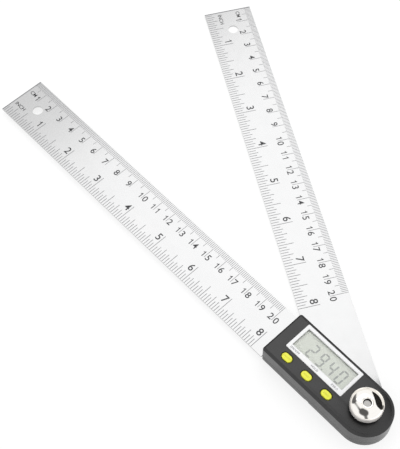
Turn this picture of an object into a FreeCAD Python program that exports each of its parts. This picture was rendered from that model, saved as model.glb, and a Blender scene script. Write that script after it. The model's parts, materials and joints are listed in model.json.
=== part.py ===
import FreeCAD, Part
import os
import Sketcher

# Digital angle finder with two rules, in millimetres.
# The origin is on the pivot axis, on the surface that the tool lies on. +X runs from the pivot to the far
# end of the fixed rule, +Z comes out of the display face, and +Y is the side of the inch scale.

# Driving dimensions
DRIVING = {
    # Rules
    "rule_reach": 266.5,
    "rule_width": 28.0,
    "rule_thickness": 1.0,
    "arm_angle": 29.4,
    "arm_end_step": 0.6,
    "arm_shoulder_reach": 17.0,
    "hang_hole_radius": 3.0,
    "hang_hole_inset": 15.0,
    "tongue_post_gap": 0.4,
    "tongue_foot_gap": 0.7,
    "tongue_gap": 0.05,
    "rivet_radius": 1.0,
    "rivet_head_radius": 1.8,
    "rivet_head_height": 0.6,
    "rivet_edge": 3.2,
    # Head shells
    "head_reach": 55.8,
    "head_width": 27.6,
    "head_height": 11.8,
    "head_corner_radius": 1.2,
    "head_edge_bevel": 1.0,
    "wall_thickness": 1.4,
    "roof_thickness": 1.6,
    "floor_thickness": 1.2,
    "lower_shell_height": 3.4,
    "lip_height": 0.8,
    "lip_thickness": 0.6,
    "lip_gap": 0.1,
    "running_gap": 0.2,
    "post_radius": 1.9,
    "post_bezel_gap": 1.0,
    "housing_screw_radius": 0.9,
    "housing_screw_head_radius": 1.5,
    "housing_screw_head_height": 0.9,
    "housing_screw_length": 7.0,
    "screw_gap": 0.1,
    # Pivot
    "hub_radius": 7.0,
    "bush_wall": 1.4,
    "bush_flange_radius": 9.6,
    "bush_flange_thickness": 0.6,
    "boss_wall": 2.0,
    "boss_height": 2.0,
    "fit_gap": 0.05,
    "bolt_radius": 2.0,
    "bolt_head_radius": 3.6,
    "hub_screw_circle": 5.3,
    "hub_screw_radius": 0.7,
    "hub_screw_head_radius": 1.25,
    "hub_screw_length": 2.8,
    "friction_washer_width": 3.35,
    "friction_washer_thickness": 0.15,
    "rotor_screw_gap": 0.3,
    "rotor_seat_radius": 4.6,
    "rotor_thickness": 0.8,
    "sensing_gap": 0.4,
    # Lock knob
    "knob_washer_radius": 5.5,
    "knob_washer_thickness": 0.6,
    "knob_neck_radius": 4.5,
    "knob_neck_height": 2.0,
    "knob_radius": 8.15,
    "knob_rim_height": 4.5,
    "knob_rim_width": 0.65,
    "knob_rim_bevel": 0.3,
    "knob_dish_depth": 2.3,
    "knob_dome_margin": 4.6,
    "knob_dome_drop": 11.45,
    "knob_dish_width": 0.2,
    "knob_hub_radius": 2.75,
    "knob_hub_height": 0.9,
    "knob_hub_bevel": 0.25,
    "bolt_end_depth": 1.2,
    # Display
    "bezel_knob_gap": 4.25,
    "bezel_end_gap": 6.8,
    "bezel_edge_gap": 1.5,
    "bezel_key_gap": 2.3,
    "bezel_border": 1.8,
    "bezel_foot_border": 2.9,
    "bezel_stand": 0.1,
    "window_thickness": 0.8,
    "window_inset": 0.5,
    "display_gap": 0.1,
    "holder_inset": 0.2,
    "holder_wall": 0.8,
    "panel_gap": 0.2,
    "contact_strip_width": 1.6,
    "contact_strip_inset": 0.4,
    # Keys
    "key_row_shift": 0.2,
    "key_inset": 5.15,
    "key_edge_gap": 3.6,
    "key_length": 5.8,
    "key_width": 3.7,
    "key_stand": 0.4,
    "key_gap": 0.35,
    "key_flange_border": 0.75,
    "key_stem_radius": 1.1,
    "key_edge_radius": 0.5,
    "switch_width": 4.4,
    "switch_floor": 0.4,
    "plunger_radius": 1.2,
    # Board
    "board_thickness": 1.0,
    "board_edge_gap": 0.5,
    "board_hole_radius": 5.4,
    "board_notch_radius": 2.6,
    "board_post_radius": 1.5,
    "board_screw_radius": 0.7,
    "board_screw_head_radius": 1.2,
    "board_screw_head_height": 0.6,
    "board_screw_length": 3.2,
    "board_post_step": 5.8,
    "board_post_inset": 4.6,
    "pivot_post_inset": 3.5,
    "chip_length": 7.0,
    "chip_strip_gap": 1.65,
    "crystal_length": 6.0,
    "crystal_end_gap": 1.0,
    "capacitor_length": 1.6,
    "capacitor_width": 0.8,
    # Battery
    "contact_room": 0.7,
    "cell_gap": 0.1,
    "cell_rim": 1.2,
    "cell_rim_step": 0.3,
    "holder_ring_gap": 0.3,
    "holder_ring_wall": 0.8,
    "door_boss_gap": 2.75,
    "door_gap": 0.1,
    "door_ring_wall": 0.8,
    "door_slot_length": 11.0,
    "door_slot_width": 1.8,
    "door_slot_depth": 0.6,
    "pry_notch_width": 2.4,
    "pry_notch_depth": 0.6,
    "lug_wall_gap": 0.5,
    "lug_overlap": 0.7,
    "lug_width": 4.0,
    "lug_thickness": 0.4,
    "lug_gap": 0.05,
    "lug_turn": 40.0,
    "contact_leaf": 0.2,
    "contact_width": 4.0,
    "contact_length": 8.0,
    "contact_foot": 3.2,
    "contact_dimple_radius": 1.2,
    # Shares of the room between the board and the roof
    "panel_share": 0.45,
    "chip_share": 0.275,
    "crystal_share": 0.225,
    "switch_share": 0.4,
    "plunger_share": 0.2,
    "plunger_depth_share": 0.125,
    "key_flange_share": 0.2,
    # One overrun carries every cut clear through
    "overrun": 0.5,
}

# Heights above the surface that the tool lies on, each worked out from the sizes below it, and the room
# between the board and the roof
HEIGHTS = {
    "arm_top": "Sizes.rule_thickness",
    "head_bottom": "Heights.arm_top + Sizes.running_gap",
    "floor_top": "Heights.head_bottom + Sizes.floor_thickness",
    "rule_top": "Heights.floor_top + Sizes.rule_thickness",
    "seam": "Heights.head_bottom + Sizes.lower_shell_height",
    "head_top": "Heights.head_bottom + Sizes.head_height",
    "roof_under": "Heights.head_top - Sizes.roof_thickness",
    "boss_top": "Heights.floor_top + Sizes.boss_height",
    "bush_top": "Heights.boss_top + Sizes.bush_flange_thickness",
    "rotor_bottom": "Heights.bush_top + Sizes.running_gap",
    "rotor_top": "Heights.rotor_bottom + Sizes.rotor_thickness",
    "board_bottom": "Heights.rotor_top + Sizes.sensing_gap",
    "board_top": "Heights.board_bottom + Sizes.board_thickness",
    "room": "Heights.roof_under - Heights.board_top",
    "window_top": "Heights.roof_under + Sizes.window_thickness",
    "bezel_top": "Heights.head_top + Sizes.bezel_stand",
    "panel_top": "Heights.roof_under - Sizes.panel_gap",
    "panel_bottom": "Heights.panel_top - Sizes.panel_share * Heights.room",
    "switch_top": "Heights.board_top + Sizes.switch_share * Heights.room",
    "plunger_top": "Heights.switch_top + Sizes.plunger_share * Heights.room",
    "plunger_bottom": "Heights.switch_top - Sizes.plunger_depth_share * Heights.room",
    "key_flange_top": "Heights.roof_under - Sizes.display_gap",
    "key_flange_bottom": "Heights.key_flange_top - Sizes.key_flange_share * Heights.room",
    "key_top": "Heights.head_top + Sizes.key_stand",
    "cell_bottom": "Heights.floor_top + Sizes.cell_gap",
    "cell_top": "Heights.board_bottom - Sizes.contact_room",
    "lug_bottom": "Heights.floor_top + Sizes.lug_gap",
    "lug_top": "Heights.lug_bottom + Sizes.lug_thickness",
    "holder_ring_bottom": "Heights.lug_top + Sizes.cell_gap",
    "knob_seat": "Heights.head_top + Sizes.knob_washer_thickness",
    "knob_under": "Heights.knob_seat + Sizes.knob_neck_height",
    "knob_rim_top": "Heights.knob_under + Sizes.knob_rim_height",
    "knob_dish": "Heights.knob_rim_top - Sizes.knob_dish_depth",
    "knob_dome_centre": "Heights.knob_rim_top - Sizes.knob_dome_drop",
    "knob_top": "Heights.knob_rim_top + Sizes.knob_hub_height",
    "bolt_end": "Heights.knob_top - Sizes.bolt_end_depth",
}

# Places in the head's plan, worked out from the same sizes
PLACES = {
    "head_half": "Sizes.head_width / 2",
    "inner_half": "Places.head_half - Sizes.wall_thickness",
    "inner_end": "Sizes.head_reach - Sizes.wall_thickness",
    "post_side": "Places.inner_half - 2 * Sizes.lip_gap - Sizes.post_radius",
    "back_post_reach": "Places.inner_end - 2 * Sizes.lip_gap - Sizes.post_radius",
    "bezel_start": "Sizes.knob_radius + Sizes.bezel_knob_gap",
    "front_post_reach": "Places.bezel_start - Sizes.post_bezel_gap - Sizes.post_radius",
    "bezel_length": "Sizes.head_reach - Sizes.bezel_end_gap - Places.bezel_start",
    "display_reach": "Places.bezel_start + Places.bezel_length / 2",
    "key_side": "Places.head_half - Sizes.key_edge_gap - Sizes.key_width / 2",
    "bezel_low": "Sizes.bezel_edge_gap - Places.head_half",
    "bezel_high": "Places.key_side - Sizes.key_width / 2 - Sizes.bezel_key_gap",
    "bezel_width": "Places.bezel_high - Places.bezel_low",
    "display_side": "(Places.bezel_high + Places.bezel_low) / 2",
    "key_reach": "Places.display_reach + Sizes.key_row_shift",
    "key_pitch": "Places.bezel_length / 2 - Sizes.key_inset",
    "window_length": "Places.bezel_length - 2 * Sizes.window_inset",
    "window_width": "Places.bezel_width - 2 * Sizes.window_inset",
    "holder_length": "Places.bezel_length - 2 * Sizes.holder_inset",
    "holder_width": "Places.bezel_width - 2 * Sizes.holder_inset",
    "panel_length": "Places.holder_length - 2 * (Sizes.holder_wall + Sizes.display_gap)",
    "panel_width": "Places.holder_width - 2 * (Sizes.holder_wall + Sizes.display_gap)",
    "strip_side": "Places.panel_width / 2 - Sizes.contact_strip_inset - Sizes.contact_strip_width / 2",
    "crystal_radius": "Sizes.crystal_share * Heights.room",
    "crystal_end": "Places.display_reach + Places.panel_length / 2 - Sizes.crystal_end_gap",
    "crystal_start": "Places.crystal_end - Sizes.crystal_length",
    "chip_width": "2 * (Places.strip_side - Sizes.chip_strip_gap) - Sizes.contact_strip_width",
    "chip_side": "Places.display_reach - Sizes.chip_length / 2",
    "chip_room": "(Places.panel_length - Sizes.chip_length) / 2",
    "arm_end_radius": "Sizes.rule_width / 2 - Sizes.arm_end_step",
    "bush_radius": "Sizes.hub_radius + Sizes.fit_gap + Sizes.bush_wall",
    "washer_bore": "Places.bush_radius + Sizes.running_gap",
    "pivot_post_reach": "Sizes.pivot_post_inset - Places.head_half",
    "rotor_radius": "-Places.pivot_post_reach - Sizes.board_screw_head_radius - Sizes.rotor_screw_gap",
    "board_post_reach": "Sizes.head_reach - Sizes.board_post_inset",
    "board_post_side": "Places.post_side - Sizes.board_post_step",
    "lug_reach": "Places.inner_half - Sizes.lug_wall_gap",
    "door_radius": "Places.lug_reach - Sizes.lug_overlap",
    "door_hole_radius": "Places.door_radius + Sizes.door_gap",
    "ring_outer_radius": "Places.door_radius - Sizes.door_gap",
    "ring_inner_radius": "Places.ring_outer_radius - Sizes.holder_ring_wall",
    "cell_radius": "Places.ring_inner_radius - Sizes.holder_ring_gap",
    "cell_reach": "Places.bush_radius + Sizes.boss_wall + Sizes.door_boss_gap + Places.door_hole_radius",
    "tongue_start": "Places.cell_reach + Places.cell_radius + Sizes.contact_foot + Sizes.tongue_foot_gap",
    "tongue_half": "Places.post_side - Sizes.post_radius - Sizes.tongue_post_gap",
    "rivet_reach": "(Places.tongue_start + Sizes.head_reach) / 2",
    "rivet_side": "Places.tongue_half - Sizes.rivet_edge",
    "dome_foot": "Sizes.knob_radius - Sizes.knob_rim_width - Sizes.knob_rim_bevel - Sizes.knob_dish_width",
    "dome_radius": "Places.dome_foot + Sizes.knob_dome_margin",
}

# Counts, and the closeness at which two places count as one
HUB_SCREWS = 3
LUGS = 3
CAPACITORS = 4
TOUCH = 1e-4

# Places that several pieces share
SCREW_POSTS = (
    ("Places.back_post_reach", "Places.post_side"),
    ("Places.back_post_reach", "-Places.post_side"),
    ("Places.front_post_reach", "Places.post_side"),
    ("Places.front_post_reach", "-Places.post_side"),
)
BOARD_POSTS = (
    ("Places.board_post_reach", "Places.board_post_side"),
    ("Places.board_post_reach", "-Places.board_post_side"),
    ("Places.pivot_post_reach", "0"),
)
RIVETS = (
    ("Places.rivet_reach", "Places.rivet_side"),
    ("Places.rivet_reach", "-Places.rivet_side"),
)
DISPLAY_CENTRE = ("Places.display_reach", "Places.display_side")
KEYS = {
    "power": "Places.key_reach + Places.key_pitch",
    "hold": "Places.key_reach",
    "zero": "Places.key_reach - Places.key_pitch",
}

doc = FreeCAD.newDocument("AngleFinder")
sizes = doc.addObject("Spreadsheet::Sheet", "Sizes")
for row, (alias, size) in enumerate(DRIVING.items(), start=1):
    sizes.set(f"A{row}", alias)
    sizes.set(f"B{row}", str(size))
    sizes.setAlias(f"B{row}", alias)
doc.recompute()


def derived_values(name, formulas):
    """A set of named values, each bound to the sheet by its own formula."""
    holder = doc.addObject("App::VarSet", name)
    for alias, formula in formulas.items():
        holder.addProperty("App::PropertyFloat", alias, name)
        holder.setExpression(alias, formula)
        doc.recompute()
    return holder


derived_values("Heights", HEIGHTS)
derived_values("Places", PLACES)
NODES = []


def number(formula):
    """The present value of a formula."""
    found = sizes.evalExpression(formula)
    return float(getattr(found, "Value", found))


def bind(thing, **formulas):
    """Bind properties to formulas. A double underscore in a name stands for a dot."""
    for path, formula in formulas.items():
        thing.setExpression(path.replace("__", "."), formula)


def new_body(node):
    body = doc.addObject("PartDesign::Body", node)
    body.Label = node
    NODES.append(body)
    return body


def origin_plane(body, role):
    return next(feature for feature in body.Origin.OriginFeatures if feature.Role == role)


def new_sketch(body, name, level="0", reach="0", side="0"):
    """A level sketch, raised to a height and with its own origin at a place in the plan."""
    sketch = body.newObject("Sketcher::SketchObject", f"{body.Name}_{name}")
    sketch.AttachmentSupport = (origin_plane(body, "XY_Plane"), [""])
    sketch.MapMode = "FlatFace"
    bind(sketch, AttachmentOffset__Base__z=level, AttachmentOffset__Base__x=reach)
    bind(sketch, AttachmentOffset__Base__y=side)
    return sketch


def upright_sketch(body, name):
    """A sketch in the XZ plane, whose second axis is the height."""
    sketch = body.newObject("Sketcher::SketchObject", f"{body.Name}_{name}")
    sketch.AttachmentSupport = (origin_plane(body, "XZ_Plane"), [""])
    sketch.MapMode = "FlatFace"
    return sketch


def tie_point(sketch, curve, end, x, y):
    """Hold a point of a sketch at two formulas."""
    for kind, formula, axis in (("DistanceX", x, -2), ("DistanceY", y, -1)):
        if formula == "0":
            sketch.addConstraint(Sketcher.Constraint("PointOnObject", curve, end, axis))
            continue
        index = sketch.addConstraint(Sketcher.Constraint(kind, -1, 1, curve, end, number(formula)))
        sketch.setExpression(f"Constraints[{index}]", formula)


def add_circle(sketch, radius, x="0", y="0"):
    centre = FreeCAD.Vector(number(x), number(y), 0)
    circle = sketch.addGeometry(Part.Circle(centre, FreeCAD.Vector(0, 0, 1), number(radius)))
    index = sketch.addConstraint(Sketcher.Constraint("Radius", circle, number(radius)))
    sketch.setExpression(f"Constraints[{index}]", radius)
    tie_point(sketch, circle, 3, x, y)
    return sketch


def add_loop(sketch, steps):
    """A closed loop. A step (x, y) runs straight on to the next point, and a step
    (x, y, centre x, centre y, way) goes on to it by an arc, way 1 being anticlockwise."""
    points = [FreeCAD.Vector(number(step[0]), number(step[1]), 0) for step in steps]
    curves = []
    ends = []
    for step, start, finish in zip(steps, points, points[1:] + points[:1]):
        if len(step) == 2:
            curves.append(sketch.addGeometry(Part.LineSegment(start, finish)))
            ends.append((1, 2))
            continue
        centre = FreeCAD.Vector(number(step[2]), number(step[3]), 0)
        first, last = (start, finish) if step[4] > 0 else (finish, start)
        angles = [(point - centre).getAngle(FreeCAD.Vector(1, 0, 0)) for point in (first, last)]
        signed = [angle if point.y >= centre.y else -angle for angle, point in zip(angles, (first, last))]
        circle = Part.Circle(centre, FreeCAD.Vector(0, 0, 1), (start - centre).Length)
        curves.append(sketch.addGeometry(Part.ArcOfCircle(circle, *signed)))
        ends.append((1, 2) if step[4] > 0 else (2, 1))
    for place, step in enumerate(steps):
        before = place - 1
        sketch.addConstraint(
            Sketcher.Constraint("Coincident", curves[before], ends[before][1], curves[place], ends[place][0]))
        tie_point(sketch, curves[place], ends[place][0], step[0], step[1])
        if len(step) == 5:
            tie_centre(sketch, curves[place], points[place], points[(place + 1) % len(points)], step)
    return sketch


def tie_centre(sketch, curve, start, finish, step):
    """The last freedom of an arc with both ends held: its centre, across the chord."""
    chord = finish - start
    steep = abs(chord.y) >= abs(chord.x)
    kind, formula, axis = ("DistanceX", step[2], -2) if steep else ("DistanceY", step[3], -1)
    if formula == "0":
        sketch.addConstraint(Sketcher.Constraint("PointOnObject", curve, 3, axis))
        return
    index = sketch.addConstraint(Sketcher.Constraint(kind, -1, 1, curve, 3, number(formula)))
    sketch.setExpression(f"Constraints[{index}]", formula)


def box_loop(x_low, x_high, y_low, y_high):
    return [(x_low, y_low), (x_high, y_low), (x_high, y_high), (x_low, y_high)]


def centred_loop(length, width):
    """A rectangle centred on the sketch's own origin."""
    return box_loop(f"-({length}) / 2", f"({length}) / 2", f"-({width}) / 2", f"({width}) / 2")


def pill_loop(length, width):
    """A rectangle with two half round ends, long along X, centred on the sketch's own origin."""
    run = f"(({length}) - ({width})) / 2"
    half = f"({width}) / 2"
    return [(f"-{run}", f"-{half}"), (run, f"-{half}", run, "0", 1), (run, half),
            (f"-{run}", half, f"-{run}", "0", 1)]


def head_loop(inset):
    """The head's plan, square at the rule's end and round about the pivot, drawn in by an inset."""
    half = f"(Places.head_half - ({inset}))"
    end = f"Sizes.head_reach - ({inset})"
    return [(end, f"-{half}"), (end, half), ("0", half, "0", "0", 1), ("0", f"-{half}")]


def pad(body, sketch, height):
    feature = body.newObject("PartDesign::Pad", f"{sketch.Name}_pad")
    feature.Profile = sketch
    bind(feature, Length=height)
    doc.recompute()
    return feature


def cut(body, sketch, depth):
    """Cut downwards from the sketch's level."""
    before = body.Shape.Volume
    feature = body.newObject("PartDesign::Pocket", f"{sketch.Name}_cut")
    feature.Profile = sketch
    bind(feature, Length=depth)
    doc.recompute()
    if body.Shape.Volume >= before:
        raise RuntimeError(f"{sketch.Name} cuts nothing")
    return feature


def turn(body, sketch):
    """Turn an upright sketch about the pivot axis."""
    feature = body.newObject("PartDesign::Revolution", f"{sketch.Name}_turn")
    feature.Profile = sketch
    feature.ReferenceAxis = (sketch, ["V_Axis"])
    feature.Angle = 360
    doc.recompute()
    return feature


def ring_pattern(body, feature, sketch, count):
    """Repeat a feature about the axis that stands on its sketch's own origin."""
    pattern = body.newObject("PartDesign::PolarPattern", f"{feature.Name}_ring")
    pattern.Originals = [feature]
    pattern.Axis = (sketch, ["N_Axis"])
    pattern.Angle = 360
    pattern.Occurrences = count
    body.Tip = pattern
    doc.recompute()
    return pattern


def chosen_edges(shape, wanted):
    """The names of the edges that pass a test."""
    return [f"Edge{place}" for place, edge in enumerate(shape.Edges, start=1) if wanted(edge)]


def dress(body, kind, wanted, size_name, size):
    """Round or bevel the chosen edges of the body as it stands."""
    base = body.Tip
    feature = body.newObject(f"PartDesign::{kind}", f"{body.Name}_{kind.lower()}")
    feature.Base = (base, chosen_edges(base.Shape, wanted))
    bind(feature, **{size_name: size})
    doc.recompute()
    return feature


def level_edge(height):
    """True for an edge that lies level at a height."""
    top = number(height)
    return lambda edge: all(abs(vertex.Z - top) < TOUCH for vertex in edge.Vertexes)


def turned_piece(node, profile):
    """A piece turned about the pivot axis from its half section."""
    body = new_body(node)
    sketch = add_loop(upright_sketch(body, "section"), profile)
    turn(body, sketch)
    return body


def ring_profile(inner, outer, low, high):
    return box_loop(inner, outer, low, high)


def swung(thing):
    """Turn a piece of the arm with it, away from the fixed rule."""
    angle = "-Sizes.arm_angle"
    upright = FreeCAD.Vector(0, 0, 1)
    thing.Placement = FreeCAD.Placement(FreeCAD.Vector(), FreeCAD.Rotation(upright, number(angle)))
    bind(thing, Placement__Rotation__Angle=angle)
    return thing


def group(node, pieces):
    """Separate like solids that share one node."""
    together = doc.addObject("Part::Compound", node)
    together.Label = node
    together.Links = pieces
    NODES.append(together)
    doc.recompute()
    return together


def cylinder(name, radius, low, high, x="0", y="0"):
    solid = doc.addObject("Part::Cylinder", name)
    bind(solid, Radius=radius, Height=f"({high}) - ({low})")
    bind(solid, Placement__Base__x=x, Placement__Base__y=y, Placement__Base__z=low)
    return solid


def headed_pin(name, head_radius, head_low, head_high, pin_radius, pin_low, pin_high, x, y):
    """A screw or rivet: a head and a shank, fused."""
    head = cylinder(f"{name}_head", head_radius, head_low, head_high, x, y)
    shank = cylinder(f"{name}_shank", pin_radius, pin_low, pin_high, x, y)
    pin = doc.addObject("Part::Fuse", name)
    pin.Base = head
    pin.Tool = shank
    return pin


def make_fixed_rule():
    """The rule that the head carries: full width outside, a narrow tongue inside the shells."""
    body = new_body("fixed_rule")
    shoulder = "Sizes.head_reach + Sizes.tongue_gap"
    half = "Sizes.rule_width / 2"
    tongue = "Places.tongue_half"
    sketch = add_loop(new_sketch(body, "plan", "Heights.floor_top"), [
        ("Sizes.rule_reach", f"-{half}"), ("Sizes.rule_reach", half), (shoulder, half), (shoulder, tongue),
        ("Places.tongue_start", tongue), ("Places.tongue_start", f"-{tongue}"), (shoulder, f"-{tongue}"),
        (shoulder, f"-{half}")])
    pad(body, sketch, "Sizes.rule_thickness")
    holes = new_sketch(body, "holes", "Heights.rule_top")
    add_circle(holes, "Sizes.hang_hole_radius", "Sizes.rule_reach - Sizes.hang_hole_inset")
    circles(holes, "Sizes.rivet_radius", RIVETS)
    cut(body, holes, "Sizes.rule_thickness + Sizes.overrun")


def make_moving_rule():
    """The rule that turns under the head, with its round end about the pivot."""
    body = new_body("moving_rule")
    half = "Sizes.rule_width / 2"
    shoulder = "Sizes.arm_shoulder_reach"
    sketch = add_loop(new_sketch(body, "plan"), [
        ("Sizes.rule_reach", f"-{half}"), ("Sizes.rule_reach", half), (shoulder, half),
        ("0", "Places.arm_end_radius", "0", "0", 1), ("0", "-Places.arm_end_radius"), (shoulder, f"-{half}")])
    pad(body, sketch, "Sizes.rule_thickness")
    holes = new_sketch(body, "holes", "Heights.arm_top")
    add_circle(holes, "Sizes.hang_hole_radius", "Sizes.rule_reach - Sizes.hang_hole_inset")
    cut(body, holes, "Sizes.rule_thickness + Sizes.overrun")
    middle = new_sketch(body, "bolt_hole", "Heights.arm_top")
    add_circle(middle, "Sizes.bolt_head_radius + Sizes.fit_gap")
    cut(body, middle, "Sizes.rule_thickness + Sizes.overrun")
    screw = new_sketch(body, "screw_hole", "Heights.arm_top")
    add_circle(screw, "Sizes.hub_screw_head_radius + Sizes.fit_gap", "Sizes.hub_screw_circle")
    ring_pattern(body, cut(body, screw, "Sizes.rule_thickness + Sizes.overrun"), screw, HUB_SCREWS)
    swung(body)


def circles(sketch, radius, places):
    for x, y in places:
        add_circle(sketch, radius, x, y)
    return sketch


def make_bottom_housing():
    """The lower shell: a tray with a lip, the pivot boss, screw bosses and the battery opening."""
    body = new_body("bottom_housing")
    plan = add_loop(new_sketch(body, "plan", "Heights.head_bottom"), head_loop("0"))
    pad(body, plan, "Sizes.lower_shell_height")
    dress(body, "Fillet", upright_edge_at("Sizes.head_reach"), "Radius", "Sizes.head_corner_radius")
    tray = add_loop(new_sketch(body, "tray", "Heights.seam"), head_loop("Sizes.wall_thickness"))
    cut(body, tray, "Sizes.lower_shell_height - Sizes.floor_thickness")
    lip = new_sketch(body, "lip", "Heights.floor_top")
    add_loop(lip, head_loop("Sizes.wall_thickness - Sizes.lip_thickness"))
    add_loop(lip, head_loop("Sizes.wall_thickness"))
    pad(body, lip, "Heights.seam + Sizes.lip_height - Heights.floor_top")
    boss = new_sketch(body, "boss", "Heights.head_bottom")
    add_circle(boss, "Places.bush_radius + Sizes.boss_wall")
    pad(body, boss, "Heights.boss_top - Heights.head_bottom")
    posts = circles(new_sketch(body, "posts", "Heights.head_bottom"), "Sizes.post_radius", SCREW_POSTS)
    pad(body, posts, "Sizes.lower_shell_height")
    bore = add_circle(new_sketch(body, "bore", "Heights.boss_top"), "Places.bush_radius")
    cut(body, bore, "Heights.boss_top")
    holes = new_sketch(body, "screw_holes", "Heights.seam")
    circles(holes, "Sizes.housing_screw_radius + Sizes.screw_gap", SCREW_POSTS)
    cut(body, holes, "Heights.seam")
    head_high = "Heights.head_bottom + Sizes.housing_screw_head_height + Sizes.screw_gap"
    heads = new_sketch(body, "screw_heads", head_high)
    circles(heads, "Sizes.housing_screw_head_radius + Sizes.screw_gap", SCREW_POSTS)
    cut(body, heads, "Sizes.housing_screw_head_height + Sizes.overrun")
    slot = new_sketch(body, "rule_slot", "Heights.rule_top + Sizes.tongue_gap")
    slot_half = "(Places.tongue_half + Sizes.tongue_gap)"
    add_loop(slot, box_loop("Places.inner_end - Sizes.overrun", "Sizes.head_reach + Sizes.overrun",
                            f"-{slot_half}", slot_half))
    cut(body, slot, "Sizes.rule_thickness + Sizes.tongue_gap")
    rivets = new_sketch(body, "rivet_holes", "Heights.floor_top")
    circles(rivets, "Sizes.rivet_radius", RIVETS)
    cut(body, rivets, "Heights.floor_top")
    sinks = new_sketch(body, "rivet_sinks", "Heights.head_bottom + Sizes.rivet_head_height")
    circles(sinks, "Sizes.rivet_head_radius", RIVETS)
    cut(body, sinks, "Heights.head_bottom + Sizes.rivet_head_height")
    door = new_sketch(body, "door", "Heights.floor_top")
    add_circle(door, "Places.door_hole_radius", "Places.cell_reach")
    cut(body, door, "Heights.floor_top")
    notch = new_sketch(body, "notch", "Heights.floor_top", "Places.cell_reach")
    spun = FreeCAD.Rotation(FreeCAD.Vector(0, 0, 1), number("Sizes.lug_turn"))
    notch.AttachmentOffset = FreeCAD.Placement(notch.AttachmentOffset.Base, spun)
    bind(notch, AttachmentOffset__Rotation__Angle="Sizes.lug_turn")
    half = "(Sizes.lug_width / 2 + Sizes.door_gap)"
    add_loop(notch, box_loop(f"-{half}", half, "Places.cell_radius", "Places.lug_reach + Sizes.door_gap"))
    ring_pattern(body, cut(body, notch, "Heights.floor_top"), notch, LUGS)
    pry = new_sketch(body, "pry_notch", "Heights.head_bottom + Sizes.pry_notch_depth", "Places.cell_reach")
    add_loop(pry, box_loop("-Sizes.pry_notch_width / 2", "Sizes.pry_notch_width / 2",
                           "Places.head_half - Sizes.pry_notch_depth", "Places.head_half + Sizes.overrun"))
    cut(body, pry, "Sizes.pry_notch_depth + Sizes.overrun")


def upright_edge_at(reach):
    """True for a straight upright edge at a distance along X."""
    place = number(reach)

    def wanted(edge):
        low, high = edge.BoundBox.ZMin, edge.BoundBox.ZMax
        return all(abs(vertex.X - place) < TOUCH for vertex in edge.Vertexes) and high - low > TOUCH

    return wanted


def make_top_housing():
    """The upper shell: roof, walls, screw posts, board posts, and the display and key openings."""
    body = new_body("top_housing")
    plan = add_loop(new_sketch(body, "plan", "Heights.seam"), head_loop("0"))
    pad(body, plan, "Heights.head_top - Heights.seam")
    dress(body, "Fillet", upright_edge_at("Sizes.head_reach"), "Radius", "Sizes.head_corner_radius")
    dress(body, "Chamfer", level_edge("Heights.head_top"), "Size", "Sizes.head_edge_bevel")
    inside = add_loop(new_sketch(body, "inside", "Heights.roof_under"), head_loop("Sizes.wall_thickness"))
    cut(body, inside, "Heights.roof_under - Heights.seam + Sizes.overrun")
    rebate = new_sketch(body, "rebate", "Heights.seam + Sizes.lip_height + Sizes.lip_gap")
    add_loop(rebate, head_loop("Sizes.wall_thickness - Sizes.lip_thickness - Sizes.lip_gap"))
    cut(body, rebate, "Sizes.lip_height + Sizes.lip_gap + Sizes.overrun")
    posts = circles(new_sketch(body, "posts", "Heights.seam"), "Sizes.post_radius", SCREW_POSTS)
    pad(body, posts, "Heights.roof_under + Sizes.overrun - Heights.seam")
    board_posts = new_sketch(body, "board_posts", "Heights.board_top")
    circles(board_posts, "Sizes.board_post_radius", BOARD_POSTS)
    pad(body, board_posts, "Heights.roof_under + Sizes.overrun - Heights.board_top")
    sleeve = add_circle(new_sketch(body, "sleeve", "Heights.board_top + Sizes.sensing_gap"),
                        "Sizes.knob_neck_radius")
    pad(body, sleeve, "Heights.roof_under + Sizes.overrun - Heights.board_top - Sizes.sensing_gap")
    bolt = new_sketch(body, "bolt_hole", "Heights.head_top")
    add_circle(bolt, "Sizes.bolt_radius + Sizes.screw_gap")
    cut(body, bolt, "Heights.head_top - Heights.board_top")
    pilots = new_sketch(body, "pilots", "Heights.head_bottom + Sizes.housing_screw_length + Sizes.overrun")
    circles(pilots, "Sizes.housing_screw_radius", SCREW_POSTS)
    cut(body, pilots, "Sizes.housing_screw_length")
    board_pilots = new_sketch(body, "board_pilots", "Heights.board_bottom + Sizes.board_screw_length")
    circles(board_pilots, "Sizes.board_screw_radius", BOARD_POSTS)
    cut(body, board_pilots, "Sizes.board_screw_length")
    seat = new_sketch(body, "bezel_seat", "Heights.head_top", *DISPLAY_CENTRE)
    add_loop(seat, centred_loop("Places.bezel_length + 2 * Sizes.display_gap",
                                "Places.bezel_width + 2 * Sizes.display_gap"))
    cut(body, seat, "Heights.head_top - Heights.window_top")
    pane = new_sketch(body, "window_seat", "Heights.window_top", *DISPLAY_CENTRE)
    add_loop(pane, centred_loop("Places.window_length + 2 * Sizes.display_gap",
                                "Places.window_width + 2 * Sizes.display_gap"))
    cut(body, pane, "Sizes.window_thickness + Sizes.overrun")
    for key, reach in KEYS.items():
        hole = new_sketch(body, f"{key}_hole", "Heights.head_top", reach, "Places.key_side")
        add_loop(hole, pill_loop("Sizes.key_length + 2 * Sizes.key_gap",
                                 "Sizes.key_width + 2 * Sizes.key_gap"))
        cut(body, hole, "Sizes.roof_thickness + Sizes.overrun")


def plate(node, level, thickness, reach, side, loops):
    """A flat piece made of one or two loops about a place in the plan."""
    body = new_body(node)
    sketch = new_sketch(body, "plan", level, reach, side)
    for loop in loops:
        add_loop(sketch, loop)
    pad(body, sketch, thickness)
    return body


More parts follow.
